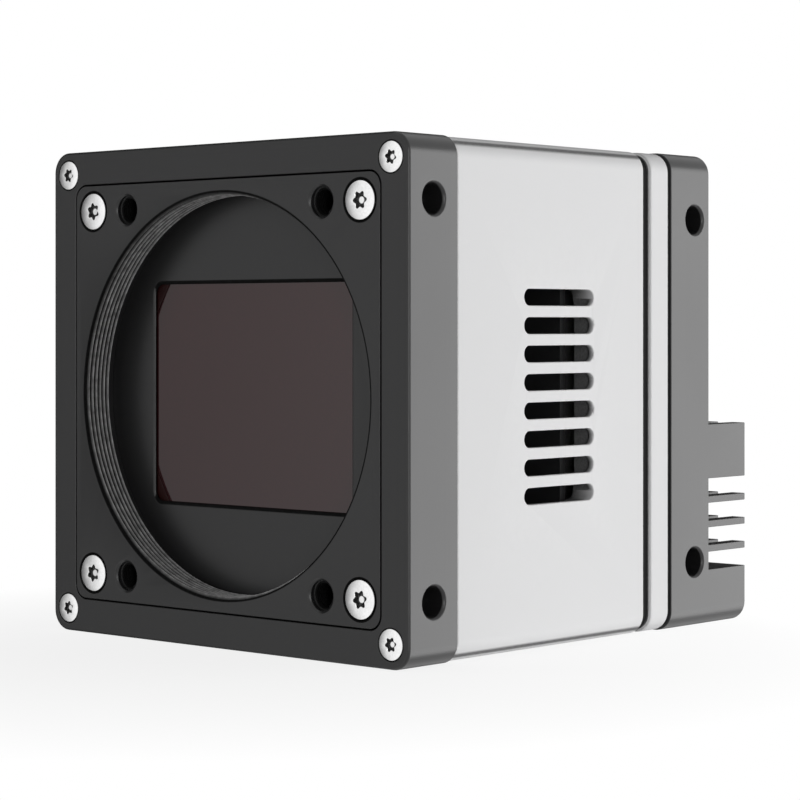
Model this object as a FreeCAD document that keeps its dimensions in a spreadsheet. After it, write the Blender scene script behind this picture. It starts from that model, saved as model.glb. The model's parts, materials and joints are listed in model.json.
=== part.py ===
import FreeCAD, Part
import math
import os
import re
import Sketcher

# Square machine vision camera with a large threaded lens mount.
# The origin is on the lens axis at the front face, +Y runs into the body and +Z is up.
# All sizes are millimetres.

SIZES = {
    # outside of the body, from front to back
    "body_size": 72.0,
    "edge_radius": 3.0,
    "edge_break": 0.3,
    "front_depth": 10.0,
    "shell_inset": 0.15,
    "shell_depth": 42.8,
    "shell_wall": 3.9,
    "cavity_radius": 6.0,
    "seal_depth": 1.5,
    "seal_inset": 0.6,
    "ring_depth": 4.7,
    "join_depth": 0.4,
    "join_inset": 0.6,
    "rear_depth": 9.8,
    "rear_floor": 3.0,
    "rear_wall": 5.4,
    # lens mount plate let into the front
    "mount_rim": 5.2,
    "mount_depth": 6.0,
    "mount_corner": 2.0,
    "mount_gap": 0.22,
    "thread_wall": 1.8,
    "thread_depth": 5.0,
    "relief_cut": 0.4,
    "adapter_inset": 3.8,
    "adapter_step": 7.3,
    # tapped holes for fixing the camera and what it carries
    "fixing_radius": 2.1,
    "fixing_chamfer": 0.35,
    "fixing_reach": 4.4,
    "front_fixing_y": 5.1,
    "front_fixing_inset": 8.9,
    "rear_fixing_y": 6.1,
    "rear_fixing_inset": 10.0,
    # window through the floor of the mount
    "web_depth": 0.4,
    "window_width": 40.0,
    "window_height": 32.2,
    "window_corner": 1.5,
    "window_chamfer": 0.25,
    # filter glass and its holder behind the window
    "holder_width": 50.3,
    "holder_height": 43.3,
    "holder_depth": 3.0,
    "holder_gap": 0.15,
    "holder_lip": 0.1,
    "filter_width": 44.0,
    "filter_height": 34.8,
    "filter_cut_x": 5.5,
    "filter_cut_z": 9.0,
    "filter_depth": 1.0,
    "filter_gap": 0.1,
    "filter_ledge": 1.0,
    # image sensor
    "gasket_depth": 0.6,
    "gasket_band": 1.5,
    "cover_width": 44.0,
    "cover_height": 37.0,
    "cover_depth": 0.7,
    "package_width": 48.0,
    "package_height": 41.0,
    "package_depth": 2.6,
    "package_recess": 1.5,
    "package_rim": 3.0,
    "die_width": 38.4,
    "die_height": 31.6,
    "die_depth": 0.72,
    # sensor board
    "board_depth": 1.6,
    "sensor_board_gap": 1.2,
    "board_window_width": 22.0,
    "board_window_height": 16.0,
    "board_screw_x": 12.0,
    "board_screw_inset": 3.1,
    "spacer_radius": 2.3,
    "spacer_bore": 1.15,
    "board_screw_radius": 1.0,
    "board_screw_head": 1.9,
    "board_screw_rise": 1.3,
    "board_screw_bite": 2.6,
    # heat spreader behind the sensor
    "pad_depth": 1.0,
    "finger_gap": 1.0,
    "finger_length": 7.2,
    "spreader_depth": 3.0,
    "insert_gap": 0.2,
    # vents in both sides of the shell
    "vent_count": 8,
    "vent_pitch": 4.0,
    "vent_length": 15.8,
    "vent_height": 2.35,
    "vent_place": 22.5,
    "vent_web": 1.0,
    "vent_margin": 0.3,
    "vent_corner": 3.0,
    # radial blower between the vents
    "blower_size": 50.0,
    "blower_depth": 14.6,
    "blower_wall": 1.2,
    "blower_corner": 4.0,
    "blower_side_gap": 0.3,
    "scroll_radius": 22.0,
    "scroll_shift": 1.5,
    "outlet_height": 33.0,
    "inlet_radius": 15.0,
    "blower_screw_inset": 3.5,
    "blower_screw_radius": 1.25,
    "blower_screw_head": 2.25,
    "blower_screw_bite": 2.0,
    "wheel_radius": 19.5,
    "wheel_gap": 0.8,
    "wheel_disc": 0.8,
    "hub_radius": 10.0,
    "hub_wall": 0.8,
    "blade_count": 23,
    "blade_root": 14.5,
    "blade_thick": 0.5,
    "blade_lean": 3.0,
    "blade_bow": 1.05,
    "blade_tip_gap": 0.3,
    "shaft_radius": 1.0,
    "shaft_fit": 0.05,
    "bearing_radius": 2.2,
    "bearing_length": 7.0,
    "tube_radius": 3.2,
    "stator_radius": 8.6,
    "stator_depth": 6.0,
    # electronics behind the blower
    "bulkhead_inset": 9.3,
    "bulkhead_depth": 2.0,
    "main_board_gap": 2.5,
    "main_board_edge": 1.95,
    "main_screw_inset": 6.0,
    "processor_size": 25.0,
    "processor_depth": 2.8,
    "processor_inset": 0.5,
    "boss_size": 17.0,
    "memory_width": 9.0,
    "memory_height": 13.0,
    "memory_depth": 1.1,
    "memory_pitch": 12.0,
    "memory_gap": 6.0,
    "coil_size": 6.0,
    "coil_depth": 3.0,
    "coil_pitch": 8.0,
    "coil_rise": 5.0,
    "coil_gap": 4.5,
    "port_board_edge": 2.95,
    "port_board_height": 29.0,
    "port_board_inset": 1.95,
    "port_board_gap": 2.4,
    "link_width": 30.0,
    "link_height": 5.0,
    "link_inset": 3.0,
    # pin fins on the lower half of the back
    "sink_depth": 9.8,
    "sink_top": 5.15,
    "sink_bar": 8.3,
    "fin_count": 3,
    "fin_thick": 1.05,
    "fin_gap": 2.7,
    "pin_width": 2.4,
    "pin_columns": 15,
    # screws in the four corners
    "corner_inset_x": 3.3,
    "corner_inset_z": 3.4,
    "corner_screw_radius": 1.25,
    "corner_head_radius": 2.2,
    "corner_seat_radius": 2.35,
    "corner_screw_bite": 8.0,
    "mount_inset_x": 3.7,
    "mount_inset_z": 3.8,
    "mount_screw_radius": 1.5,
    "mount_head_radius": 2.82,
    "mount_seat_radius": 3.13,
    "mount_screw_bite": 3.4,
    "screw_fit": 0.05,
    "hole_play": 0.15,
    "key_depth": 0.9,
    # the key's hollows and lobes, as shares of the screw head's radius, and half a lobe in degrees
    "key_core": 0.35,
    "key_lobe": 0.486,
    "key_lobe_turn": 9.0,
    # data sockets
    "data_pitch": 14.0,
    "data_inset": 12.0,
    "data_radius": 3.5,
    "data_nut_radius": 4.8,
    "data_nut_depth": 1.5,
    "data_barrel_radius": 3.2,
    "data_reach": 8.8,
    "data_bore_radius": 2.5,
    "data_bore_depth": 7.0,
    "data_lug_size": 1.0,
    "data_lug_span": 8.0,
    "data_lug_back": 3.0,
    "data_core_radius": 1.2,
    "data_core_depth": 4.0,
    "data_pin_radius": 0.35,
    "data_pin_depth": 5.5,
    # power and trigger socket
    "power_inset": 21.0,
    "power_drop": 17.5,
    "power_radius": 4.9,
    "power_nut_radius": 7.0,
    "power_nut_depth": 2.0,
    "power_reach": 7.5,
    "power_bore_radius": 4.2,
    "power_bore_depth": 6.0,
    "power_pin_radius": 0.35,
    "power_pin_depth": 4.5,
    "power_outer_pins": 9,
    "power_outer_circle": 2.9,
    "power_inner_pins": 3,
    "power_inner_circle": 1.1,
    # status light
    "light_radius": 1.25,
    "light_rise": 0.4,
}

# Sizes and places that follow from the sizes above.
FOLLOWING = {
    "shell_size": "body_size - 2 * shell_inset",
    "cavity_size": "shell_size - 2 * shell_wall",
    "mount_size": "body_size - 2 * mount_rim",
    "thread_radius": "mount_size / 2 - thread_wall",
    "relief_radius": "thread_radius + relief_cut",
    "mount_screw_x": "mount_size / 2 - mount_inset_x",
    "mount_screw_z": "mount_size / 2 - mount_inset_z",
    "adapter_x": "mount_screw_x - adapter_step",
    "adapter_z": "mount_size / 2 - adapter_inset",
    "corner_screw_x": "body_size / 2 - corner_inset_x",
    "corner_screw_z": "body_size / 2 - corner_inset_z",
    "front_fixing_z": "body_size / 2 - front_fixing_inset",
    "rear_fixing_z": "body_size / 2 - rear_fixing_inset",
    "vent_middle": "front_depth + vent_place",
    "sensor_board_size": "cavity_size - 2 * sensor_board_gap",
    "board_screw_z": "sensor_board_size / 2 - board_screw_inset",
    "bulkhead_place": "front_depth + shell_depth - bulkhead_inset",
    "main_board_size": "cavity_size - 2 * main_board_edge",
    "main_screw_place": "main_board_size / 2 - main_screw_inset",
    "processor_z": "processor_size / 2 + processor_inset - main_board_size / 2",
    "port_board_width": "cavity_size - 2 * port_board_edge",
    "port_board_z": "cavity_size / 2 - port_board_inset - port_board_height / 2",
    "link_z": "main_board_size / 2 - link_inset - link_height / 2",
    "memory_z": "processor_z + processor_size / 2 + memory_gap + memory_height / 2",
    "coil_x": "processor_size / 2 + coil_gap + coil_size / 2",
    "coil_z": "processor_z + coil_rise",
    "data_z": "body_size / 2 - data_inset",
    "power_x": "body_size / 2 - power_inset",
    "power_z": "data_z - power_drop",
    "light_x": "power_x",
    "light_z": "power_z",
}
NAMES = list(SIZES) + list(FOLLOWING)

# Two places this close are the same one.
NEARNESS = 0.001

doc = FreeCAD.newDocument("camera")
dims = doc.addObject("Spreadsheet::Sheet", "dims")
CELLS = [str(size) for size in SIZES.values()] + ["=" + rule for rule in FOLLOWING.values()]
for row, (name, cell) in enumerate(zip(NAMES, CELLS), 1):
    dims.set("A%d" % row, name)
    dims.setAlias("B%d" % row, name)
    dims.set("B%d" % row, cell)
doc.recompute()

# Places along the body, each worked out from the sizes.
SHELL_FRONT = "front_depth"
SHELL_BACK = "(%s + shell_depth)" % SHELL_FRONT
RING_FRONT = "(%s + seal_depth)" % SHELL_BACK
RING_BACK = "(%s + ring_depth)" % RING_FRONT
REAR_FRONT = "(%s + join_depth)" % RING_BACK
REAR_BACK = "(%s + rear_depth)" % REAR_FRONT
HOLDER_FRONT = "(mount_depth + web_depth)"
HOLDER_BACK = "(%s + holder_depth)" % HOLDER_FRONT
FILTER_FRONT = "(%s + holder_lip)" % HOLDER_FRONT
FILTER_BACK = "(%s + filter_depth)" % FILTER_FRONT
COVER_FRONT = "(%s + gasket_depth)" % HOLDER_BACK
PACKAGE_FRONT = "(%s + cover_depth)" % COVER_FRONT
BOARD_FRONT = "(%s + package_depth)" % PACKAGE_FRONT
BOARD_BACK = "(%s + board_depth)" % BOARD_FRONT
FINGER_FRONT = "(%s + pad_depth)" % BOARD_FRONT
SPREADER_FRONT = "(%s + finger_length)" % FINGER_FRONT
SPREADER_BACK = "(%s + spreader_depth)" % SPREADER_FRONT
BLOWER_BACK = "(%s + blower_depth)" % SPREADER_BACK
BLOWER_X = "(shell_size / 2 - shell_wall - blower_side_gap - blower_size / 2)"
WHEEL_X = "(%s - scroll_shift)" % BLOWER_X
BLOWER_CORNER = "(blower_size / 2 - blower_screw_inset)"
BULKHEAD_BACK = "(bulkhead_place + bulkhead_depth)"
MAIN_FRONT = "(%s + main_board_gap)" % BULKHEAD_BACK
MAIN_BACK = "(%s + board_depth)" % MAIN_FRONT
PROCESSOR_BACK = "(%s + processor_depth)" % MAIN_BACK
PORT_BACK = "(%s - port_board_gap)" % RING_BACK
PORT_FRONT = "(%s - board_depth)" % PORT_BACK


def linked(text):
    """The expression with each size name pointing at its cell."""
    return re.sub(r"[a-z_]+", lambda m: "dims." + m.group() if m.group() in NAMES else m.group(), text)


def value(text):
    """The number that an expression has now."""
    return float(dims.evalExpression(linked(text)))


def bind(item, prop, text):
    item.setExpression(prop, linked(text))


# Sketches and features

def new_body(label):
    body = doc.addObject("PartDesign::Body", label)
    body.Label = label
    body.AllowCompound = True
    return body


def origin_plane(body, role):
    return next(part for part in body.Origin.OriginFeatures if part.Role == role)


def sketch_on(body, plane, x="0", y="0", z="0"):
    """An empty sketch parallel to an origin plane, with its own origin at x, y, z."""
    sketch = body.newObject("Sketcher::SketchObject", "sketch")
    sketch.AttachmentSupport = [(origin_plane(body, plane), "")]
    sketch.MapMode = "FlatFace"
    offsets = {"XZ_Plane": (x, z, "-(%s)" % y), "YZ_Plane": (y, z, x), "XY_Plane": (x, y, z)}
    for axis, text in zip("xyz", offsets[plane]):
        bind(sketch, "AttachmentOffset.Base." + axis, text)
    return sketch


def point(x, y):
    return FreeCAD.Vector(x, y, 0)


def near(a, b):
    return abs(a - b) < NEARNESS


def pin_down(sketch, geometry, end, across, up):
    """Fix one point of the geometry at across, up from the sketch's origin."""
    for kind, axis, text in (("DistanceX", -2, across), ("DistanceY", -1, up)):
        size = value(text)
        if near(size, 0):
            sketch.addConstraint(Sketcher.Constraint("PointOnObject", geometry, end, axis))
        elif size > 0:
            number = sketch.addConstraint(Sketcher.Constraint(kind, -1, 1, geometry, end, size))
            bind(sketch, "Constraints[%d]" % number, text)
        else:
            number = sketch.addConstraint(Sketcher.Constraint(kind, geometry, end, -1, 1, -size))
            bind(sketch, "Constraints[%d]" % number, "-(%s)" % text)


def add_polygon(sketch, corners):
    """A closed outline of straight lines through corners given as pairs of expressions."""
    places = [point(value(a), value(b)) for a, b in corners]
    count = len(places)
    first = sketch.GeometryCount
    for n in range(count):
        sketch.addGeometry(Part.LineSegment(places[n], places[(n + 1) % count]))
    for n in range(count):
        sketch.addConstraint(Sketcher.Constraint("Coincident", first + n, 2, first + (n + 1) % count, 1))
    for n, (across, up) in enumerate(corners):
        pin_down(sketch, first + n, 1, across, up)


def add_rectangle(sketch, width, height):
    """A rectangle about the sketch's origin."""
    half_w = "%s / 2" % width
    half_h = "%s / 2" % height
    add_polygon(sketch, [("-" + half_w, "-" + half_h), (half_w, "-" + half_h),
                         (half_w, half_h), ("-" + half_w, half_h)])


def add_ring_of_corners(sketch, places):
    """A closed outline through corners given as pairs of radius and angle in degrees."""
    add_polygon(sketch, [("%s * cos(%s)" % place, "%s * sin(%s)" % place) for place in places])


def add_hexagon(sketch, radius):
    """A hexagon about the sketch's origin, with its corners at this radius."""
    add_ring_of_corners(sketch, [(radius, str(angle)) for angle in range(0, 360, 60)])


def add_rounded(sketch, width, height, radius):
    """A rectangle with rounded corners about the sketch's origin."""
    radius = "(%s)" % radius
    half_w = value(width) / 2
    half_h = value(height) / 2
    r = value(radius)
    first = sketch.GeometryCount
    quarter = math.pi / 2
    signs = [(1, -1), (1, 1), (-1, 1), (-1, -1)]
    centres = [point(a * (half_w - r), b * (half_h - r)) for a, b in signs]
    for n, centre in enumerate(centres):
        circle = Part.Circle(centre, FreeCAD.Vector(0, 0, 1), r)
        sketch.addGeometry(Part.ArcOfCircle(circle, (n - 1) * quarter, n * quarter))
    ends = [(point(half_w, -half_h + r), point(half_w, half_h - r)),
            (point(half_w - r, half_h), point(-half_w + r, half_h)),
            (point(-half_w, half_h - r), point(-half_w, -half_h + r)),
            (point(-half_w + r, -half_h), point(half_w - r, -half_h))]
    for start, end in ends:
        sketch.addGeometry(Part.LineSegment(start, end))
    for n in range(4):
        line = first + 4 + n
        sketch.addConstraint(Sketcher.Constraint("Tangent", first + n, 2, line, 1))
        sketch.addConstraint(Sketcher.Constraint("Tangent", line, 2, first + (n + 1) % 4, 1))
        sketch.addConstraint(Sketcher.Constraint("Vertical" if n % 2 == 0 else "Horizontal", line))
    for n in range(1, 4):
        sketch.addConstraint(Sketcher.Constraint("Equal", first, first + n))
    sketch.addConstraint(Sketcher.Constraint("Symmetric", first, 3, first + 2, 3, -1, 1))
    number = sketch.addConstraint(Sketcher.Constraint("Radius", first, r))
    bind(sketch, "Constraints[%d]" % number, radius)
    pin_down(sketch, first + 1, 3, "%s / 2 - %s" % (width, radius), "%s / 2 - %s" % (height, radius))


def add_slot(sketch, length, radius):
    """A level slot with round ends about the sketch's origin."""
    radius = "(%s)" % radius
    r = value(radius)
    reach = value(length) / 2 - r
    first = sketch.GeometryCount
    for side, start in ((reach, -math.pi / 2), (-reach, math.pi / 2)):
        circle = Part.Circle(point(side, 0), FreeCAD.Vector(0, 0, 1), r)
        sketch.addGeometry(Part.ArcOfCircle(circle, start, start + math.pi))
    sketch.addGeometry(Part.LineSegment(point(reach, r), point(-reach, r)))
    sketch.addGeometry(Part.LineSegment(point(-reach, -r), point(reach, -r)))
    for arc, line in ((0, 2), (1, 3)):
        sketch.addConstraint(Sketcher.Constraint("Tangent", first + arc, 2, first + line, 1))
        sketch.addConstraint(Sketcher.Constraint("Tangent", first + line, 2, first + 1 - arc, 1))
    sketch.addConstraint(Sketcher.Constraint("Equal", first, first + 1))
    sketch.addConstraint(Sketcher.Constraint("Symmetric", first, 3, first + 1, 3, -1, 1))
    number = sketch.addConstraint(Sketcher.Constraint("Radius", first, r))
    bind(sketch, "Constraints[%d]" % number, radius)
    pin_down(sketch, first, 3, "%s / 2 - %s" % (length, radius), "0")


def add_circle(sketch, radius, across="0", up="0"):
    centre = point(value(across), value(up))
    number = sketch.addGeometry(Part.Circle(centre, FreeCAD.Vector(0, 0, 1), value(radius)))
    size = sketch.addConstraint(Sketcher.Constraint("Radius", number, value(radius)))
    bind(sketch, "Constraints[%d]" % size, radius)
    pin_down(sketch, number, 3, across, up)


def add_four_circles(sketch, radius, across, up):
    for a in ("", "-"):
        for b in ("", "-"):
            add_circle(sketch, radius, a + across, b + up)


def pad(body, sketch, depth):
    """Grow the sketch towards +X, +Y or +Z, whichever its plane faces."""
    feature = body.newObject("PartDesign::Pad", "pad")
    feature.Profile = sketch
    feature.Reversed = sketch.AttachmentSupport[0][0].Role == "XZ_Plane"
    bind(feature, "Length", depth)
    doc.recompute()
    return feature


def pocket(body, sketch, depth, both_ways=False):
    """Cut the sketch towards +Y from its plane, or towards -X or -Z on the other planes."""
    feature = body.newObject("PartDesign::Pocket", "pocket")
    feature.Profile = sketch
    if both_ways:
        feature.SideType = "Symmetric"
    bind(feature, "Length", depth)
    doc.recompute()
    return feature


def turn(body, corners, x="0", z="0", kind="PartDesign::Revolution"):
    """Turn an outline of radius and depth pairs about a line along Y through x, z."""
    sketch = sketch_on(body, "XY_Plane", x=x, z=z)
    add_polygon(sketch, corners)
    feature = body.newObject(kind, "turned")
    feature.Profile = sketch
    feature.ReferenceAxis = (sketch, ["V_Axis"])
    feature.Angle = 360
    doc.recompute()
    return feature


def line_pattern(body, feature, axis, length, count):
    """Repeat a feature along an axis of its own sketch."""
    repeat = body.newObject("PartDesign::LinearPattern", "row")
    repeat.Originals = [feature]
    repeat.Direction = (feature.Profile[0], [axis])
    bind(repeat, "Length", length)
    bind(repeat, "Occurrences", count)
    body.Tip = repeat
    doc.recompute()
    return repeat


def round_pattern(body, features, sketch, axis, count):
    """Repeat features round an axis of a sketch."""
    repeat = body.newObject("PartDesign::PolarPattern", "ring")
    repeat.Originals = features
    repeat.Axis = (sketch, [axis])
    repeat.Angle = 360
    bind(repeat, "Occurrences", count)
    body.Tip = repeat
    doc.recompute()
    return repeat


def mirror_in_body(body, features, role):
    copy = body.newObject("PartDesign::Mirrored", "mirrored")
    copy.Originals = features
    copy.MirrorPlane = (origin_plane(body, role), [""])
    body.Tip = copy
    doc.recompute()
    return copy


def edges_where(feature, test):
    return ["Edge%d" % n for n, edge in enumerate(feature.Shape.Edges, 1) if test(edge)]


def chamfer(body, feature, names, size):
    cut = body.newObject("PartDesign::Chamfer", "chamfer")
    cut.Base = (feature, names)
    bind(cut, "Size", size)
    doc.recompute()
    return cut


def outline_edges(feature, size, place):
    """The edges round the outside of a square face of this size that lies at y = place."""
    half = value(size) / 2
    depth = value(place)

    def on_outline(edge):
        return all(near(v.Y, depth) and near(max(abs(v.X), abs(v.Z)), half) for v in edge.Vertexes)

    return edges_where(feature, on_outline)


def hole_mouths(feature, radius, axis, place):
    """The round edges of this radius in the plane x = place or y = place."""
    r = value(radius)
    depth = value(place)

    def is_mouth(edge):
        if not edge.Closed or not hasattr(edge.Curve, "Radius"):
            return False
        return near(edge.Curve.Radius, r) and near(abs(getattr(edge.Curve.Center, axis)), abs(depth))

    return edges_where(feature, is_mouth)


def box(label, x, y, z, width, depth, height):
    """A block centred on x and z, from y back through its depth."""
    item = doc.addObject("Part::Box", label)
    item.Label = label
    bind(item, "Length", width)
    bind(item, "Width", depth)
    bind(item, "Height", height)
    bind(item, "Placement.Base.x", "%s - %s / 2" % (x, width))
    bind(item, "Placement.Base.y", y)
    bind(item, "Placement.Base.z", "%s - %s / 2" % (z, height))
    return item


def group(label, items):
    item = doc.addObject("Part::Compound", label)
    item.Label = label
    item.Links = items
    return item


def mirrored(item, normal):
    copy = doc.addObject("Part::Mirroring", item.Label + "_mirrored")
    copy.Source = item
    copy.Normal = normal
    return copy


def pair(label, item):
    """The item and its twin on the other side of the body."""
    return group(label, [item, mirrored(item, (1, 0, 0))])


def four(label, item):
    """The item and its twins in the other three corners."""
    side = pair(label + "_side", item)
    return group(label, [side, mirrored(side, (0, 0, 1))])


# Pieces that several sub-parts share

def lobed_recess(body, x, z, head, place):
    """A six lobed key recess in a screw's head, cut back from y = place."""
    places = []
    for angle in range(0, 360, 60):
        places.append(("%s * key_lobe" % head, "%d - key_lobe_turn" % angle))
        places.append(("%s * key_lobe" % head, "%d + key_lobe_turn" % angle))
        places.append(("%s * key_core" % head, "%d + 30" % angle))
    recess = sketch_on(body, "XZ_Plane", x=x, y=place, z=z)
    add_ring_of_corners(recess, places)
    pocket(body, recess, "key_depth")


def countersunk_screw(label, x, z, head, shank, place, tip):
    """A countersunk screw driven towards +Y with its head's top at y = place."""
    body = new_body(label)
    shank_fit = "(%s - screw_fit)" % shank
    turn(body, [("0", place), (head, place), (shank_fit, "%s + %s - %s" % (place, head, shank_fit)),
                (shank_fit, tip), ("0", tip)], x, z)
    lobed_recess(body, x, z, head, place)
    return body


def hexagon_screw(label, x, z, head, shank, seat, rise, tip):
    """A hexagon headed screw driven towards -Y from its seat."""
    body = new_body(label)
    shaft = sketch_on(body, "XZ_Plane", x=x, y=tip, z=z)
    add_circle(shaft, shank)
    pad(body, shaft, "%s - %s" % (seat, tip))
    top = sketch_on(body, "XZ_Plane", x=x, y=seat, z=z)
    add_hexagon(top, head)
    pad(body, top, rise)
    return body


def hexagon_spacer(label, x, z, front, length):
    body = new_body(label)
    outline = sketch_on(body, "XZ_Plane", x=x, y=front, z=z)
    add_hexagon(outline, "spacer_radius")
    add_circle(outline, "spacer_bore")
    pad(body, outline, length)
    return body


def square_tube(label, size, radius, front, length):
    """A length of the shell's section, with this outside."""
    body = new_body(label)
    outline = sketch_on(body, "XZ_Plane", y=front)
    add_rounded(outline, size, size, radius)
    add_rounded(outline, "cavity_size", "cavity_size", "cavity_radius")
    return body, pad(body, outline, length)


def plate_insert(label, front, depth):
    """A plate that fits across the shell's cavity."""
    body = new_body(label)
    outline = sketch_on(body, "XZ_Plane", y=front)
    size = "(cavity_size - 2 * insert_gap)"
    add_rounded(outline, size, size, "cavity_radius - insert_gap")
    return body, pad(body, outline, depth)


# Front plate with its mount pocket, window and tapped holes

def make_front_plate():
    body = new_body("front_plate")
    outline = sketch_on(body, "XZ_Plane")
    add_rounded(outline, "body_size", "body_size", "edge_radius")
    block = pad(body, outline, "front_depth")
    block = chamfer(body, block, outline_edges(block, "body_size", "0"), "edge_break")

    mount_pocket = sketch_on(body, "XZ_Plane")
    pocket_size = "(mount_size + 2 * mount_gap)"
    add_rounded(mount_pocket, pocket_size, pocket_size, "mount_corner + mount_gap")
    pocket(body, mount_pocket, "mount_depth")

    holder_pocket = sketch_on(body, "XZ_Plane", y=HOLDER_FRONT)
    add_rectangle(holder_pocket, "(holder_width + 2 * holder_gap)", "(holder_height + 2 * holder_gap)")
    pocket(body, holder_pocket, "front_depth")

    window = sketch_on(body, "XZ_Plane", y="mount_depth")
    add_rounded(window, "window_width", "window_height", "window_corner")
    opened = pocket(body, window, "front_depth")
    floor = value("mount_depth")
    half_window = value("window_width") / 2 + NEARNESS

    def on_rim(edge):
        return all(near(v.Y, floor) and abs(v.X) < half_window for v in edge.Vertexes)

    chamfer(body, opened, edges_where(opened, on_rim), "window_chamfer")

    corner_holes = sketch_on(body, "XZ_Plane")
    add_four_circles(corner_holes, "(corner_screw_radius + hole_play)", "corner_screw_x", "corner_screw_z")
    drilled = pocket(body, corner_holes, "front_depth")
    mouths = hole_mouths(drilled, "corner_screw_radius + hole_play", "y", "0")
    chamfer(body, drilled, mouths, "corner_seat_radius - corner_screw_radius - hole_play")

    mount_taps = sketch_on(body, "XZ_Plane", y="mount_depth")
    add_four_circles(mount_taps, "mount_screw_radius", "mount_screw_x", "mount_screw_z")
    pocket(body, mount_taps, "front_depth")

    board_taps = sketch_on(body, "XZ_Plane", y="front_depth - board_screw_bite - hole_play")
    add_four_circles(board_taps, "(board_screw_radius + screw_fit)", "board_screw_x", "board_screw_z")
    pocket(body, board_taps, "front_depth")

    side_fixings(body, "front_fixing_y", "front_fixing_z")
    return body


def side_fixings(body, place, height):
    """Two blind tapped holes in each side of a plate."""
    holes = sketch_on(body, "YZ_Plane", x="body_size / 2", y=place)
    add_circle(holes, "fixing_radius", up=height)
    add_circle(holes, "fixing_radius", up="-" + height)
    drilled = pocket(body, holes, "fixing_reach")
    both = mirror_in_body(body, [drilled], "YZ_Plane")
    chamfer(body, both, hole_mouths(both, "fixing_radius", "x", "body_size / 2"), "fixing_chamfer")


# Lens mount plate with the large thread and four tapped holes for adapters

def make_lens_mount_plate():
    body = new_body("lens_mount_plate")
    outline = sketch_on(body, "XZ_Plane")
    add_rounded(outline, "mount_size", "mount_size", "mount_corner")
    add_circle(outline, "thread_radius")
    pad(body, outline, "mount_depth")
    turn(body, [("0", "thread_depth"), ("relief_radius", "thread_depth"), ("relief_radius", "mount_depth"),
                ("0", "mount_depth")], kind="PartDesign::Groove")

    screw_holes = sketch_on(body, "XZ_Plane")
    add_four_circles(screw_holes, "(mount_screw_radius + hole_play)", "mount_screw_x", "mount_screw_z")
    drilled = pocket(body, screw_holes, "mount_depth")
    mouths = hole_mouths(drilled, "mount_screw_radius + hole_play", "y", "0")
    chamfer(body, drilled, mouths, "mount_seat_radius - mount_screw_radius - hole_play")

    adapter_holes = sketch_on(body, "XZ_Plane")
    add_four_circles(adapter_holes, "fixing_radius", "adapter_x", "adapter_z")
    drilled = pocket(body, adapter_holes, "mount_depth")
    chamfer(body, drilled, hole_mouths(drilled, "fixing_radius", "y", "0"), "fixing_chamfer")
    return body


def make_mount_plate_screws():
    screw = countersunk_screw("mount_plate_screw", "mount_screw_x", "mount_screw_z", "mount_head_radius",
                              "mount_screw_radius", "0", "(mount_depth + mount_screw_bite)")
    return four("mount_plate_screws", screw)


def make_front_screws():
    screw = countersunk_screw("front_screw", "corner_screw_x", "corner_screw_z", "corner_head_radius",
                              "corner_screw_radius", "0", "(front_depth + corner_screw_bite)")
    return four("front_screws", screw)


# Filter glass with cut corners, in a holder behind the window

def cut_corner_outline(sketch, width, height, cut_x, cut_z):
    w = "%s / 2" % width
    h = "%s / 2" % height
    inner_w = "(%s / 2 - %s)" % (width, cut_x)
    inner_h = "(%s / 2 - %s)" % (height, cut_z)
    add_polygon(sketch, [(w, "-" + inner_h), (w, inner_h), (inner_w, h), ("-" + inner_w, h),
                         ("-" + w, inner_h), ("-" + w, "-" + inner_h), ("-" + inner_w, "-" + h),
                         (inner_w, "-" + h)])


def make_filter_holder():
    body = new_body("filter_holder")
    outline = sketch_on(body, "XZ_Plane", y=HOLDER_FRONT)
    add_rectangle(outline, "holder_width", "holder_height")
    pad(body, outline, "holder_depth")
    mouth = sketch_on(body, "XZ_Plane", y=HOLDER_FRONT)
    mouth_width = "(filter_width + 2 * filter_gap)"
    mouth_height = "(filter_height + 2 * filter_gap)"
    add_rectangle(mouth, mouth_width, mouth_height)
    pocket(body, mouth, "holder_lip")
    seat = sketch_on(body, "XZ_Plane", y=FILTER_FRONT)
    cut_corner_outline(seat, mouth_width, mouth_height, "filter_cut_x", "filter_cut_z")
    pocket(body, seat, "filter_depth")
    aperture = sketch_on(body, "XZ_Plane", y=FILTER_BACK)
    cut_corner_outline(aperture, "(filter_width - 2 * filter_ledge)", "(filter_height - 2 * filter_ledge)",
                       "filter_cut_x", "filter_cut_z")
    pocket(body, aperture, "holder_depth")
    return body


def make_filter_glass():
    body = new_body("filter_glass")
    outline = sketch_on(body, "XZ_Plane", y=FILTER_FRONT)
    cut_corner_outline(outline, "filter_width", "filter_height", "filter_cut_x", "filter_cut_z")
    pad(body, outline, "filter_depth")
    return body


# Image sensor: gasket, cover glass, ceramic package and silicon die

def make_sensor():
    gasket = new_body("sensor_gasket")
    outline = sketch_on(gasket, "XZ_Plane", y=HOLDER_BACK)
    add_rectangle(outline, "cover_width", "cover_height")
    add_rectangle(outline, "(cover_width - 2 * gasket_band)", "(cover_height - 2 * gasket_band)")
    pad(gasket, outline, "gasket_depth")

    cover = box("sensor_cover_glass", "0", COVER_FRONT, "0", "cover_width", "cover_depth", "cover_height")

    package = new_body("sensor_package")
    outline = sketch_on(package, "XZ_Plane", y=PACKAGE_FRONT)
    add_rectangle(outline, "package_width", "package_height")
    pad(package, outline, "package_depth")
    recess = sketch_on(package, "XZ_Plane", y=PACKAGE_FRONT)
    add_rectangle(recess, "(package_width - 2 * package_rim)", "(package_height - 2 * package_rim)")
    pocket(package, recess, "package_recess")

    die_front = "%s + package_recess - die_depth" % PACKAGE_FRONT
    die = box("sensor_die", "0", die_front, "0", "die_width", "die_depth", "die_height")
    return [gasket, cover, package, die]


# Sensor board on four spacers behind the front plate

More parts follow.
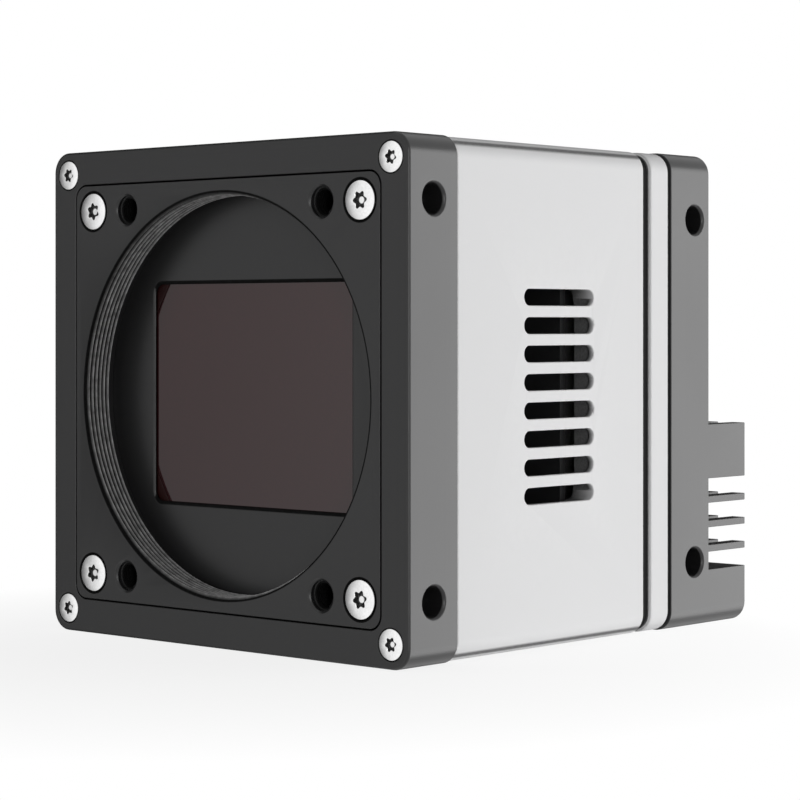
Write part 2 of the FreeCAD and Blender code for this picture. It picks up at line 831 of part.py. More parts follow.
def make_sensor_board():
    board = new_body("sensor_board")
    outline = sketch_on(board, "XZ_Plane", y=BOARD_FRONT)
    add_rounded(outline, "sensor_board_size", "sensor_board_size", "edge_radius")
    add_rectangle(outline, "board_window_width", "board_window_height")
    add_four_circles(outline, "spacer_bore", "board_screw_x", "board_screw_z")
    pad(board, outline, "board_depth")
    spacer = hexagon_spacer("sensor_board_spacer", "board_screw_x", "board_screw_z", "front_depth",
                            "(%s - front_depth)" % BOARD_FRONT)
    tip = "(front_depth - board_screw_bite)"
    screw = hexagon_screw("sensor_board_screw", "board_screw_x", "board_screw_z", "board_screw_head",
                          "board_screw_radius", BOARD_BACK, "board_screw_rise", tip)
    return [board, four("sensor_board_spacers", spacer), four("sensor_board_screws", screw)]


# Heat spreader: a plate across the shell with a finger through the board to the sensor's back

def make_heat_spreader():
    finger_width = "(board_window_width - 2 * finger_gap)"
    finger_height = "(board_window_height - 2 * finger_gap)"
    thermal_pad = box("sensor_thermal_pad", "0", BOARD_FRONT, "0", finger_width, "pad_depth", finger_height)
    body, _ = plate_insert("heat_spreader", SPREADER_FRONT, "spreader_depth")
    finger = sketch_on(body, "XZ_Plane", y=FINGER_FRONT)
    add_rectangle(finger, finger_width, finger_height)
    pad(body, finger, "finger_length")
    taps = sketch_on(body, "XZ_Plane", x=BLOWER_X, y="%s - blower_screw_bite - hole_play" % SPREADER_BACK)
    add_four_circles(taps, "(blower_screw_radius + screw_fit)", BLOWER_CORNER, BLOWER_CORNER)
    pocket(body, taps, "spreader_depth")
    return [thermal_pad, body]


# Radial blower: housing with its outlet at the vents, cover with the inlet, bearing, stator and wheel

def make_blower():
    depth = "(blower_depth - blower_wall)"
    housing = new_body("blower_housing")
    outline = sketch_on(housing, "XZ_Plane", x=BLOWER_X, y=SPREADER_BACK)
    add_rounded(outline, "blower_size", "blower_size", "blower_corner")
    pad(housing, outline, depth)
    floor = "(%s + blower_wall)" % SPREADER_BACK
    scroll = sketch_on(housing, "XZ_Plane", x=WHEEL_X, y=floor)
    add_circle(scroll, "scroll_radius")
    pocket(housing, scroll, depth)
    outlet = sketch_on(housing, "XZ_Plane", x="%s + blower_size / 4" % BLOWER_X, y=floor)
    add_rectangle(outlet, "(blower_size / 2 + blower_wall)", "outlet_height")
    pocket(housing, outlet, depth)
    holes = sketch_on(housing, "XZ_Plane", x=BLOWER_X, y=SPREADER_BACK)
    add_four_circles(holes, "(blower_screw_radius + hole_play)", BLOWER_CORNER, BLOWER_CORNER)
    pocket(housing, holes, depth)
    tube = sketch_on(housing, "XZ_Plane", x=WHEEL_X, y=SPREADER_BACK)
    add_circle(tube, "tube_radius")
    pad(housing, tube, "(blower_wall + bearing_length)")
    tube_bore = sketch_on(housing, "XZ_Plane", x=WHEEL_X, y=floor)
    add_circle(tube_bore, "bearing_radius")
    pocket(housing, tube_bore, "bearing_length")

    cover = new_body("blower_cover")
    outline = sketch_on(cover, "XZ_Plane", x=BLOWER_X, y="%s + %s" % (SPREADER_BACK, depth))
    add_rounded(outline, "blower_size", "blower_size", "blower_corner")
    add_circle(outline, "inlet_radius", across="-scroll_shift")
    add_four_circles(outline, "(blower_screw_radius + hole_play)", BLOWER_CORNER, BLOWER_CORNER)
    pad(cover, outline, "blower_wall")

    bearing = new_body("blower_bearing")
    outline = sketch_on(bearing, "XZ_Plane", x=WHEEL_X, y=floor)
    add_circle(outline, "bearing_radius")
    add_circle(outline, "(shaft_radius + shaft_fit)")
    pad(bearing, outline, "bearing_length")

    stator = new_body("blower_stator")
    outline = sketch_on(stator, "XZ_Plane", x=WHEEL_X, y=floor)
    add_circle(outline, "stator_radius")
    add_circle(outline, "tube_radius")
    pad(stator, outline, "stator_depth")

    screws = []
    for n, (a, b) in enumerate((("", ""), ("", "-"), ("-", ""), ("-", "-")), 1):
        x = "(%s + %s%s)" % (BLOWER_X, a, BLOWER_CORNER)
        screws.append(hexagon_screw("blower_screw_%d" % n, x, b + BLOWER_CORNER, "blower_screw_head",
                                    "blower_screw_radius", BLOWER_BACK, "board_screw_rise",
                                    "(%s - blower_screw_bite)" % SPREADER_BACK))
    return [housing, cover, bearing, stator, group("blower_screws", screws), make_blower_wheel(floor)]


def make_blower_wheel(floor):
    """A cup over the stator, a disc and a ring of curved blades."""
    body = new_body("blower_wheel")
    disc_front = "(%s + wheel_gap)" % floor
    disc_back = "(%s + wheel_disc)" % disc_front
    top = "(%s - blower_wall - wheel_gap)" % BLOWER_BACK
    cup_floor = "(%s + bearing_length + wheel_gap)" % floor
    cup_back = "(%s + hub_wall)" % cup_floor
    cup_bore = "(hub_radius - hub_wall)"
    turn(body, [("0", disc_front), ("shaft_radius", disc_front), ("shaft_radius", cup_floor),
                (cup_bore, cup_floor), (cup_bore, disc_front), ("wheel_radius", disc_front),
                ("wheel_radius", disc_back), ("hub_radius", disc_back), ("hub_radius", cup_back),
                ("0", cup_back)], x=WHEEL_X)
    blade = sketch_on(body, "XZ_Plane", x=WHEEL_X, y=disc_front)
    middle = "(blade_root + wheel_radius) / 2"
    tip = "wheel_radius - blade_tip_gap"
    add_polygon(blade, [("-blade_thick / 2", "blade_root"), ("blade_thick / 2", "blade_root"),
                        ("blade_bow + blade_thick / 2", middle), ("blade_lean + blade_thick / 2", tip),
                        ("blade_lean - blade_thick / 2", tip), ("blade_bow - blade_thick / 2", middle)])
    one = pad(body, blade, "%s - %s" % (top, disc_front))
    round_pattern(body, [one], blade, "N_Axis", "blade_count")
    return body


# Silver shell with a thin web behind each row of vents

def make_housing_shell():
    body, block = square_tube("housing_shell", "shell_size", "edge_radius", SHELL_FRONT, "shell_depth")
    names = outline_edges(block, "shell_size", SHELL_FRONT) + outline_edges(block, "shell_size", SHELL_BACK)
    chamfer(body, block, names, "edge_break")

    relief = sketch_on(body, "YZ_Plane", y="vent_middle")
    rows = "(vent_pitch * (vent_count - 1) + vent_height)"
    add_rounded(relief, "(vent_length + 2 * vent_margin)", "(%s + 2 * vent_margin)" % rows, "vent_corner")
    pocket(body, relief, "(shell_size - 2 * vent_web)", both_ways=True)

    slot = sketch_on(body, "YZ_Plane", y="vent_middle", z="-vent_pitch * (vent_count - 1) / 2")
    add_slot(slot, "vent_length", "vent_height / 2")
    opened = pocket(body, slot, "shell_size", both_ways=True)
    line_pattern(body, opened, "V_Axis", "vent_pitch * (vent_count - 1)", "vent_count")

    taps = sketch_on(body, "XZ_Plane", y=SHELL_FRONT)
    add_four_circles(taps, "corner_screw_radius", "corner_screw_x", "corner_screw_z")
    pocket(body, taps, "shell_depth")
    return body


def drill_corners(body, front, depth):
    holes = sketch_on(body, "XZ_Plane", y=front)
    add_four_circles(holes, "(corner_screw_radius + hole_play)", "corner_screw_x", "corner_screw_z")
    return pocket(body, holes, depth)


# Dark seal and silver ring between the shell and the rear plate

def make_body_seal():
    size = "(shell_size - 2 * seal_inset)"
    body, _ = square_tube("body_seal", size, "edge_radius - seal_inset", SHELL_BACK, "seal_depth")
    drill_corners(body, SHELL_BACK, "seal_depth")
    return body


def make_rear_ring():
    body, block = square_tube("rear_ring", "shell_size", "edge_radius", RING_FRONT, "ring_depth")
    names = outline_edges(block, "shell_size", RING_FRONT) + outline_edges(block, "shell_size", RING_BACK)
    chamfer(body, block, names, "edge_break")
    drill_corners(body, RING_FRONT, "ring_depth")
    return body


# Rear plate, hollow towards the front, with a boss to the processor and the pin fins, all one piece

def make_rear_plate():
    body = new_body("rear_plate")
    step = sketch_on(body, "XZ_Plane", y=RING_BACK)
    step_size = "(body_size - 2 * join_inset)"
    add_rounded(step, step_size, step_size, "edge_radius - join_inset")
    pad(body, step, "join_depth")
    outline = sketch_on(body, "XZ_Plane", y=REAR_FRONT)
    add_rounded(outline, "body_size", "body_size", "edge_radius")
    pad(body, outline, "(rear_depth + sink_depth)")

    # the upper half is cut back to the plate, which leaves the block for the fins
    upper = sketch_on(body, "XZ_Plane", y=REAR_BACK, z="body_size / 4 - sink_top / 2")
    add_rectangle(upper, "(2 * body_size)", "(body_size / 2 + sink_top)")
    pocket(body, upper, "sink_depth")
    cut_pin_fins(body)

    hollow = sketch_on(body, "XZ_Plane", y=RING_BACK)
    hollow_size = "(body_size - 2 * rear_wall)"
    add_rounded(hollow, hollow_size, hollow_size, "cavity_radius")
    pocket(body, hollow, "(join_depth + rear_depth - rear_floor)")

    drill_corners(body, RING_BACK, "(join_depth + rear_depth + sink_depth)")
    access = sketch_on(body, "XZ_Plane", y=REAR_BACK)
    add_four_circles(access, "(corner_seat_radius + hole_play)", "corner_screw_x", "corner_screw_z")
    drilled = pocket(body, access, "sink_depth")
    mouths = hole_mouths(drilled, "corner_screw_radius + hole_play", "y", REAR_BACK)
    chamfer(body, drilled, mouths, "corner_seat_radius - corner_screw_radius - hole_play")

    boss = sketch_on(body, "XZ_Plane", y="%s + pad_depth" % PROCESSOR_BACK, z="processor_z")
    add_rectangle(boss, "boss_size", "boss_size")
    pad(body, boss, "%s - rear_floor - %s - pad_depth" % (REAR_BACK, PROCESSOR_BACK))

    sockets = sketch_on(body, "XZ_Plane", y=RING_BACK)
    for x in DATA_PLACES:
        add_circle(sockets, "(data_radius + hole_play)", x, "data_z")
    add_circle(sockets, "(power_radius + hole_play)", "-power_x", "power_z")
    add_circle(sockets, "(light_radius + hole_play)", "light_x", "light_z")
    pocket(body, sockets, "(join_depth + rear_depth)")

    side_fixings(body, REAR_FRONT + " + rear_fixing_y", "rear_fixing_z")
    return body


def cut_pin_fins(body):
    """Level gaps between the fins, then upright channels that part them into pins."""
    fin_pitch = "(fin_gap + fin_thick)"
    lowest = "(sink_top + sink_bar + fin_gap / 2 + %s * fin_count)" % fin_pitch
    level = sketch_on(body, "XZ_Plane", y=REAR_BACK, z="-" + lowest)
    add_rectangle(level, "(2 * body_size)", "fin_gap")
    gap = pocket(body, level, "sink_depth")
    line_pattern(body, gap, "V_Axis", fin_pitch + " * fin_count", "fin_count + 1")

    fin_height = "(sink_bar + fin_gap + %s * fin_count)" % fin_pitch
    channel_gap = "((body_size - pin_width * pin_columns) / (pin_columns - 1))"
    first_channel = "-(body_size / 2 - pin_width - %s / 2)" % channel_gap
    fin_middle = "-(sink_top + %s / 2)" % fin_height
    upright = sketch_on(body, "XZ_Plane", x=first_channel, y=REAR_BACK, z=fin_middle)
    add_rectangle(upright, channel_gap, fin_height)
    channel = pocket(body, upright, "sink_depth")
    channel_row = "(%s + pin_width) * (pin_columns - 2)" % channel_gap
    line_pattern(body, channel, "H_Axis", channel_row, "pin_columns - 1")


def make_rear_screws():
    body = new_body("rear_screw")
    head = "corner_head_radius"
    shank = "(corner_screw_radius - screw_fit)"
    tip = "(%s - corner_screw_bite)" % SHELL_BACK
    cone = "%s - %s + %s" % (REAR_BACK, head, shank)
    turn(body, [("0", tip), (shank, tip), (shank, cone), (head, REAR_BACK), ("0", REAR_BACK)],
         "corner_screw_x", "corner_screw_z")
    lobed_recess(body, "corner_screw_x", "corner_screw_z", head, "%s - key_depth" % REAR_BACK)
    return four("rear_screws", body)


# Bulkhead, main board and its chips, and the board that carries the sockets

def make_electronics():
    bulkhead, _ = plate_insert("rear_bulkhead", "bulkhead_place", "bulkhead_depth")
    taps = sketch_on(bulkhead, "XZ_Plane", y="bulkhead_place")
    add_four_circles(taps, "(board_screw_radius + screw_fit)", "main_screw_place", "main_screw_place")
    pocket(bulkhead, taps, "bulkhead_depth")

    board = new_body("main_board")
    outline = sketch_on(board, "XZ_Plane", y=MAIN_FRONT)
    add_rounded(outline, "main_board_size", "main_board_size", "edge_radius")
    add_four_circles(outline, "spacer_bore", "main_screw_place", "main_screw_place")
    pad(board, outline, "board_depth")

    spacer = hexagon_spacer("main_board_spacer", "main_screw_place", "main_screw_place", BULKHEAD_BACK,
                            "main_board_gap")
    screw = hexagon_screw("main_board_screw", "main_screw_place", "main_screw_place", "board_screw_head",
                          "board_screw_radius", MAIN_BACK, "board_screw_rise", "bulkhead_place")

    processor = box("processor", "0", MAIN_BACK, "processor_z", "processor_size", "processor_depth",
                    "processor_size")
    thermal_pad = box("processor_thermal_pad", "0", PROCESSOR_BACK, "processor_z", "processor_size",
                      "pad_depth", "processor_size")
    memory = group("memory_side", [
        box("memory_chip_%d" % n, "memory_pitch * (%d - 0.5)" % n, MAIN_BACK, "memory_z", "memory_width",
            "memory_depth", "memory_height") for n in (1, 2)])
    coils = group("coil_side", [
        box("power_coil_%d" % n, "coil_x", MAIN_BACK, "(coil_z + coil_pitch * %d)" % n, "coil_size",
            "coil_depth", "coil_size") for n in (0, 1)])
    link_depth = "(%s - %s)" % (PORT_FRONT, MAIN_BACK)
    link = box("board_connector", "0", MAIN_BACK, "link_z", "link_width", link_depth, "link_height")
    port_board = box("socket_board", "0", PORT_FRONT, "port_board_z", "port_board_width", "board_depth",
                     "port_board_height")
    return [bulkhead, board, four("main_board_spacers", spacer), four("main_board_screws", screw), processor,
            thermal_pad, pair("memory_chips", memory), pair("power_coils", coils), link, port_board]


# Sockets on the upper half of the back

DATA_PLACES = ["data_pitch / 2", "-data_pitch / 2", "data_pitch * 1.5", "-data_pitch * 1.5"]


def data_shell(label, x):
    """A bayonet coax socket that stands on the socket board and comes out through the rear plate."""
    body = new_body(label)
    mouth = "(%s + data_reach)" % REAR_BACK
    turn(body, [("0", PORT_BACK), ("data_radius", PORT_BACK), ("data_radius", REAR_BACK),
                ("data_barrel_radius", REAR_BACK), ("data_barrel_radius", mouth), ("0", mouth)], x, "data_z")
    nut = sketch_on(body, "XZ_Plane", x=x, y=REAR_BACK, z="data_z")
    add_hexagon(nut, "data_nut_radius")
    pad(body, nut, "data_nut_depth")
    lug_end = "(%s) - data_lug_span / 2" % x
    lug = sketch_on(body, "YZ_Plane", x=lug_end, y="%s - data_lug_back" % mouth, z="data_z")
    add_rectangle(lug, "data_lug_size", "data_lug_size")
    pad(body, lug, "data_lug_span")
    bore = sketch_on(body, "XZ_Plane", x=x, y="%s - data_bore_depth" % mouth, z="data_z")
    add_circle(bore, "data_bore_radius")
    pocket(body, bore, "data_bore_depth")
    return body


def data_core(label, x, length, is_pin):
    """A socket's contact pin, or the insulator round it."""
    body = new_body(label)
    outline = sketch_on(body, "XZ_Plane", x=x, y="%s + data_reach - data_bore_depth" % REAR_BACK, z="data_z")
    if not is_pin:
        add_circle(outline, "data_core_radius")
    add_hexagon(outline, "data_pin_radius")
    pad(body, outline, length)
    return body


def make_data_sockets():
    shells = []
    cores = []
    pins = []
    for n, x in enumerate((DATA_PLACES[0], DATA_PLACES[2]), 1):
        shells.append(data_shell("data_shell_%d" % n, x))
        cores.append(data_core("data_core_%d" % n, x, "data_core_depth", False))
        pins.append(data_core("data_pin_%d" % n, x, "data_pin_depth", True))
    return [pair("data_sockets", group("data_shell_side", shells)),
            pair("data_insulators", group("data_core_side", cores)),
            pair("data_pins", group("data_pin_side", pins))]


def make_power_socket():
    mouth = "(%s + power_reach)" % REAR_BACK
    insert_front = "(%s - power_bore_depth)" % mouth
    shell = new_body("power_socket")
    barrel = sketch_on(shell, "XZ_Plane", x="-power_x", y=PORT_BACK, z="power_z")
    add_circle(barrel, "power_radius")
    pad(shell, barrel, "%s - %s" % (mouth, PORT_BACK))
    nut = sketch_on(shell, "XZ_Plane", x="-power_x", y=REAR_BACK, z="power_z")
    add_hexagon(nut, "power_nut_radius")
    pad(shell, nut, "power_nut_depth")
    bore = sketch_on(shell, "XZ_Plane", x="-power_x", y=insert_front, z="power_z")
    add_circle(bore, "power_bore_radius")
    pocket(shell, bore, "power_bore_depth")

    pins = new_body("power_pins")
    for ring in ("outer", "inner"):
        place = "power_z + power_%s_circle" % ring
        outline = sketch_on(pins, "XZ_Plane", x="-power_x", y=insert_front, z=place)
        add_hexagon(outline, "power_pin_radius")
        one = pad(pins, outline, "power_pin_depth")
        centre = sketch_on(pins, "XZ_Plane", x="-power_x", y=insert_front, z="power_z")
        round_pattern(pins, [one], centre, "N_Axis", "power_%s_pins" % ring)
    return [shell, pins]


def make_status_light():
    body = new_body("status_light")
    end = "(%s + light_rise)" % REAR_BACK
    turn(body, [("0", PORT_BACK), ("light_radius", PORT_BACK), ("light_radius", REAR_BACK),
                ("light_radius / 2", end), ("0", end)], "light_x", "light_z")
    return body


def build():
    sensor = make_sensor()
    nodes = [make_front_plate(), make_lens_mount_plate(), make_mount_plate_screws(), make_front_screws(),
             make_filter_holder(), make_filter_glass()]
    nodes += sensor + make_sensor_board() + make_heat_spreader() + make_blower()
    nodes += [make_housing_shell(), make_body_seal(), make_rear_ring()]
    nodes += [make_rear_plate(), make_rear_screws()]
    nodes += make_electronics() + make_data_sockets() + make_power_socket() + [make_status_light()]
    doc.recompute()
    return nodes


def check(nodes):
    """Stop before anything is written if a feature failed, cut nothing or left an unsound shape."""
    for item in doc.Objects:
        if "Invalid" in item.State or "Error" in item.State:
            raise SystemExit("%s failed: %s" % (item.Label, item.State))
        if item.TypeId in ("PartDesign::Pocket", "PartDesign::Groove"):
            if item.Shape.Volume > item.BaseFeature.Shape.Volume - 0.001:
                raise SystemExit("%s cuts nothing" % item.Name)
    for node in nodes:
        if node.Shape.isNull() or not node.Shape.isValid():
            raise SystemExit("%s has no sound shape" % node.Label)


nodes = build()
check(nodes)
os.makedirs("parts", exist_ok=True)
for node in nodes:
    node.Shape.exportStep("parts/%s.step" % node.Label)
    print("%-24s %2d solids %10.2f mm3" % (node.Label, len(node.Shape.Solids), node.Shape.Volume))
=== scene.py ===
import bmesh
import bpy
import json
import math
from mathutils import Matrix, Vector


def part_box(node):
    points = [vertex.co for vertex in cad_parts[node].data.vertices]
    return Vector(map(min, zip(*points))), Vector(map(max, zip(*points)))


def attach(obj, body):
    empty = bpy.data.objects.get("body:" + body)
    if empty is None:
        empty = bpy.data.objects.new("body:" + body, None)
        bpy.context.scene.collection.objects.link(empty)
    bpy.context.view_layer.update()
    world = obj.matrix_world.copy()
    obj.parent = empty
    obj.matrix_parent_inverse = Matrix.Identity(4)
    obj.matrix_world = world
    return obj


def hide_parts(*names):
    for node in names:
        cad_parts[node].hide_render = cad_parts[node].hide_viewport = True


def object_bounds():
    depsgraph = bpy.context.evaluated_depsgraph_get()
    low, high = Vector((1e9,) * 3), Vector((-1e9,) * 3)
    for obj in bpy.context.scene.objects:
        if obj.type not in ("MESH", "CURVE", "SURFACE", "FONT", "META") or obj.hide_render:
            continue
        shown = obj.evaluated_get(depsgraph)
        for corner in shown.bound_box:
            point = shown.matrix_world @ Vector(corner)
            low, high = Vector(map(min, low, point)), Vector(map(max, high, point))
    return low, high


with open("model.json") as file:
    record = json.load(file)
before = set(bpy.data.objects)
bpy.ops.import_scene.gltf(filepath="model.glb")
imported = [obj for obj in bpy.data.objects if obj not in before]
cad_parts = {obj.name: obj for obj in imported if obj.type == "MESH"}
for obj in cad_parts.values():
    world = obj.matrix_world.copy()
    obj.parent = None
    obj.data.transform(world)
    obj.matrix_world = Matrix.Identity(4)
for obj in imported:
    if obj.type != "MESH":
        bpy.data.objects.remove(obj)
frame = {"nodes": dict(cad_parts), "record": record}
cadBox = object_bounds()
nodes = frame["nodes"]
mm = 0.001


# Shared shader groups

def newGroup(name, inputs, outputs):
    group = bpy.data.node_groups.new(name, "ShaderNodeTree")
    for label, kind, default in inputs:
        socket = group.interface.new_socket(label, in_out="INPUT", socket_type=kind)
        if default is not None:
            socket.default_value = default
    for label, kind in outputs:
        group.interface.new_socket(label, in_out="OUTPUT", socket_type=kind)
    return group, group.nodes.new("NodeGroupInput"), group.nodes.new("NodeGroupOutput")


def mathNode(tree, operation, first, second=0.0):
    node = tree.nodes.new("ShaderNodeMath")
    node.operation = operation
    for socket, value in zip(node.inputs, (first, second)):
        if isinstance(value, (int, float)):
            socket.default_value = value
        else:
            tree.links.new(value, socket)
    return node.outputs[0]


def mixColours(tree, factor, first, second):
    node = tree.nodes.new("ShaderNodeMix")
    node.data_type = "RGBA"
    for socket, value in ((node.inputs[0], factor), (node.inputs[6], first), (node.inputs[7], second)):
        if hasattr(value, "is_linked"):
            tree.links.new(value, socket)
        else:
            socket.default_value = value
    return node.outputs[2]


def noiseNode(tree, vector, scale, detail):
    node = tree.nodes.new("ShaderNodeTexNoise")
    node.inputs["Detail"].default_value = detail
    tree.links.new(vector, node.inputs["Vector"])
    if hasattr(scale, "is_linked"):
        tree.links.new(scale, node.inputs["Scale"])
    else:
        node.inputs["Scale"].default_value = scale
    return node.outputs["Fac"]


noiseMiddle = 0.5  # what a noise texture gives on average
fine, finer = 2.0, 3.0  # detail of the noise textures


def makeGrain():
    # fine blasted or moulded grain, with slow clouding under it
    group, start, end = newGroup("surfaceGrain", [
        ("Vector", "NodeSocketVector", None), ("Colour", "NodeSocketColor", (0.5, 0.5, 0.5, 1)),
        ("Grain Scale", "NodeSocketFloat", 6000.0), ("Grain Amount", "NodeSocketFloat", 0.1),
        ("Cloud Scale", "NodeSocketFloat", 60.0), ("Cloud Amount", "NodeSocketFloat", 0.05),
        ("Roughness", "NodeSocketFloat", 0.4), ("Roughness Spread", "NodeSocketFloat", 0.1)],
        [("Colour", "NodeSocketColor"), ("Roughness", "NodeSocketFloat"), ("Height", "NodeSocketFloat")])
    given = start.outputs
    grain = noiseNode(group, given["Vector"], given["Grain Scale"], fine)
    cloud = noiseNode(group, given["Vector"], given["Cloud Scale"], finer)
    grainSwing = mathNode(group, "SUBTRACT", grain, noiseMiddle)
    cloudSwing = mathNode(group, "SUBTRACT", cloud, noiseMiddle)
    grainPart = mathNode(group, "MULTIPLY", grainSwing, given["Grain Amount"])
    cloudPart = mathNode(group, "MULTIPLY", cloudSwing, given["Cloud Amount"])
    shade = mathNode(group, "ADD", mathNode(group, "ADD", grainPart, cloudPart), 1.0)
    scaled = group.nodes.new("ShaderNodeVectorMath")
    scaled.operation = "SCALE"
    group.links.new(given["Colour"], scaled.inputs[0])
    group.links.new(shade, scaled.inputs["Scale"])
    group.links.new(scaled.outputs[0], end.inputs["Colour"])
    spread = mathNode(group, "MULTIPLY", cloudSwing, given["Roughness Spread"])
    group.links.new(mathNode(group, "ADD", spread, given["Roughness"]), end.inputs["Roughness"])
    group.links.new(grain, end.inputs["Height"])
    return group


def makeEdgeWearAndSheen():
    # edge rubbing and painted highlight: a sharp edge or crest is lightened, partly as the thin coat rubbed
    # through to bare metal, partly as a painted highlight where it catches the light
    group, start, end = newGroup("edgeWearAndSheen", [
        ("Vector", "NodeSocketVector", None), ("Colour", "NodeSocketColor", (0.1, 0.1, 0.1, 1)),
        ("Worn And Sheen Colour", "NodeSocketColor", (0.5, 0.5, 0.5, 1)), ("Edge", "NodeSocketFloat", 0.0),
        ("Amount", "NodeSocketFloat", 0.5), ("Break Up", "NodeSocketFloat", 900.0),
        ("Sharpness", "NodeSocketFloat", 2.0)],
        [("Colour", "NodeSocketColor")])
    given = start.outputs
    patches = noiseNode(group, given["Vector"], given["Break Up"], finer)
    crest = mathNode(group, "POWER", given["Edge"], given["Sharpness"])
    wornAndSheen = mathNode(group, "MULTIPLY", mathNode(group, "MULTIPLY", crest, patches), given["Amount"])
    group.links.new(mixColours(group, wornAndSheen, given["Colour"], given["Worn And Sheen Colour"]), end.inputs["Colour"])
    return group


# how dark the painted shade of the recesses gets at the least, how much its specks add, and how rough and
# dull it is at its deepest
paintedShadeValues = {"least": 0.8, "specks": 0.3, "speckScale": 3000.0, "roughness": 0.85, "glossLost": 0.85}


def makePaintedShade():
    # painted shade: seats, gaps and keys are painted dark, rough and dull, standing in for the shade that
    # falls in them
    group, start, end = newGroup("paintedRecessShade", [
        ("Vector", "NodeSocketVector", None), ("Colour", "NodeSocketColor", (0.1, 0.1, 0.1, 1)),
        ("Roughness", "NodeSocketFloat", 0.4), ("Gloss", "NodeSocketFloat", 0.5),
        ("Shade", "NodeSocketFloat", 0.0), ("Painted Shade Colour", "NodeSocketColor", (0.002, 0.002, 0.002, 1))],
        [("Colour", "NodeSocketColor"), ("Roughness", "NodeSocketFloat"), ("Gloss", "NodeSocketFloat")])
    given = start.outputs
    noise = noiseNode(group, given["Vector"], paintedShadeValues["speckScale"], fine)
    specks = mathNode(group, "MULTIPLY", noise, paintedShadeValues["specks"])
    strength = mathNode(group, "ADD", specks, paintedShadeValues["least"])
    depth = mathNode(group, "MINIMUM", mathNode(group, "MULTIPLY", given["Shade"], strength), 1.0)
    group.links.new(mixColours(group, depth, given["Colour"], given["Painted Shade Colour"]), end.inputs["Colour"])
    rough = mathNode(group, "MULTIPLY", depth, paintedShadeValues["roughness"])
    group.links.new(mathNode(group, "MAXIMUM", given["Roughness"], rough), end.inputs["Roughness"])
    lost = mathNode(group, "MULTIPLY", depth, paintedShadeValues["glossLost"])
    kept = mathNode(group, "SUBTRACT", 1.0, lost)
    group.links.new(mathNode(group, "MULTIPLY", given["Gloss"], kept), end.inputs["Gloss"])
    return group


rowWaver = 0.4  # how far the fine rows stray from straight


def makeRows():
    # even lines along one axis: wire turns, a die's cells, a board's tracks
    group, start, end = newGroup("fineRows", [
        ("Vector", "NodeSocketVector", None), ("Colour", "NodeSocketColor", (0.1, 0.1, 0.1, 1)),
        ("Line Colour", "NodeSocketColor", (0.5, 0.5, 0.5, 1)), ("Scale", "NodeSocketFloat", 500.0),
        ("Amount", "NodeSocketFloat", 0.5)],
        [("Colour", "NodeSocketColor"), ("Height", "NodeSocketFloat")])
    given = start.outputs
    wave = group.nodes.new("ShaderNodeTexWave")
    wave.bands_direction = "Y"
    wave.inputs["Distortion"].default_value = rowWaver
    group.links.new(given["Vector"], wave.inputs["Vector"])
    group.links.new(given["Scale"], wave.inputs["Scale"])
    factor = mathNode(group, "MULTIPLY", wave.outputs["Fac"], given["Amount"])
    group.links.new(mixColours(group, factor, given["Colour"], given["Line Colour"]), end.inputs["Colour"])
    group.links.new(wave.outputs["Fac"], end.inputs["Height"])
    return group


trackValues = {"rings": 3.0, "gap": 0.62}  # rings per cell, and how much of each is bare mask


def makeTracks():
    # copper tracks and pads that show through the solder mask
    group, start, end = newGroup("boardTracks", [
        ("Vector", "NodeSocketVector", None), ("Mask Colour", "NodeSocketColor", (0.01, 0.1, 0.04, 1)),
        ("Track Colour", "NodeSocketColor", (0.03, 0.2, 0.08, 1)), ("Scale", "NodeSocketFloat", 400.0)],
        [("Colour", "NodeSocketColor"), ("Height", "NodeSocketFloat")])
    given = start.outputs
    cells = group.nodes.new("ShaderNodeTexVoronoi")
    cells.distance = "MANHATTAN"
    group.links.new(given["Vector"], cells.inputs["Vector"])
    group.links.new(given["Scale"], cells.inputs["Scale"])
    steps = mathNode(group, "MULTIPLY", cells.outputs["Distance"], trackValues["rings"])
    tracks = mathNode(group, "GREATER_THAN", mathNode(group, "FRACT", steps), trackValues["gap"])
    colour = mixColours(group, tracks, given["Mask Colour"], given["Track Colour"])
    group.links.new(colour, end.inputs["Colour"])
    group.links.new(tracks, end.inputs["Height"])
    return group


grainGroup = makeGrain()
edgeWearAndSheenGroup = makeEdgeWearAndSheen()
paintedShadeGroup = makePaintedShade()
rowGroup = makeRows()
trackGroup = makeTracks()
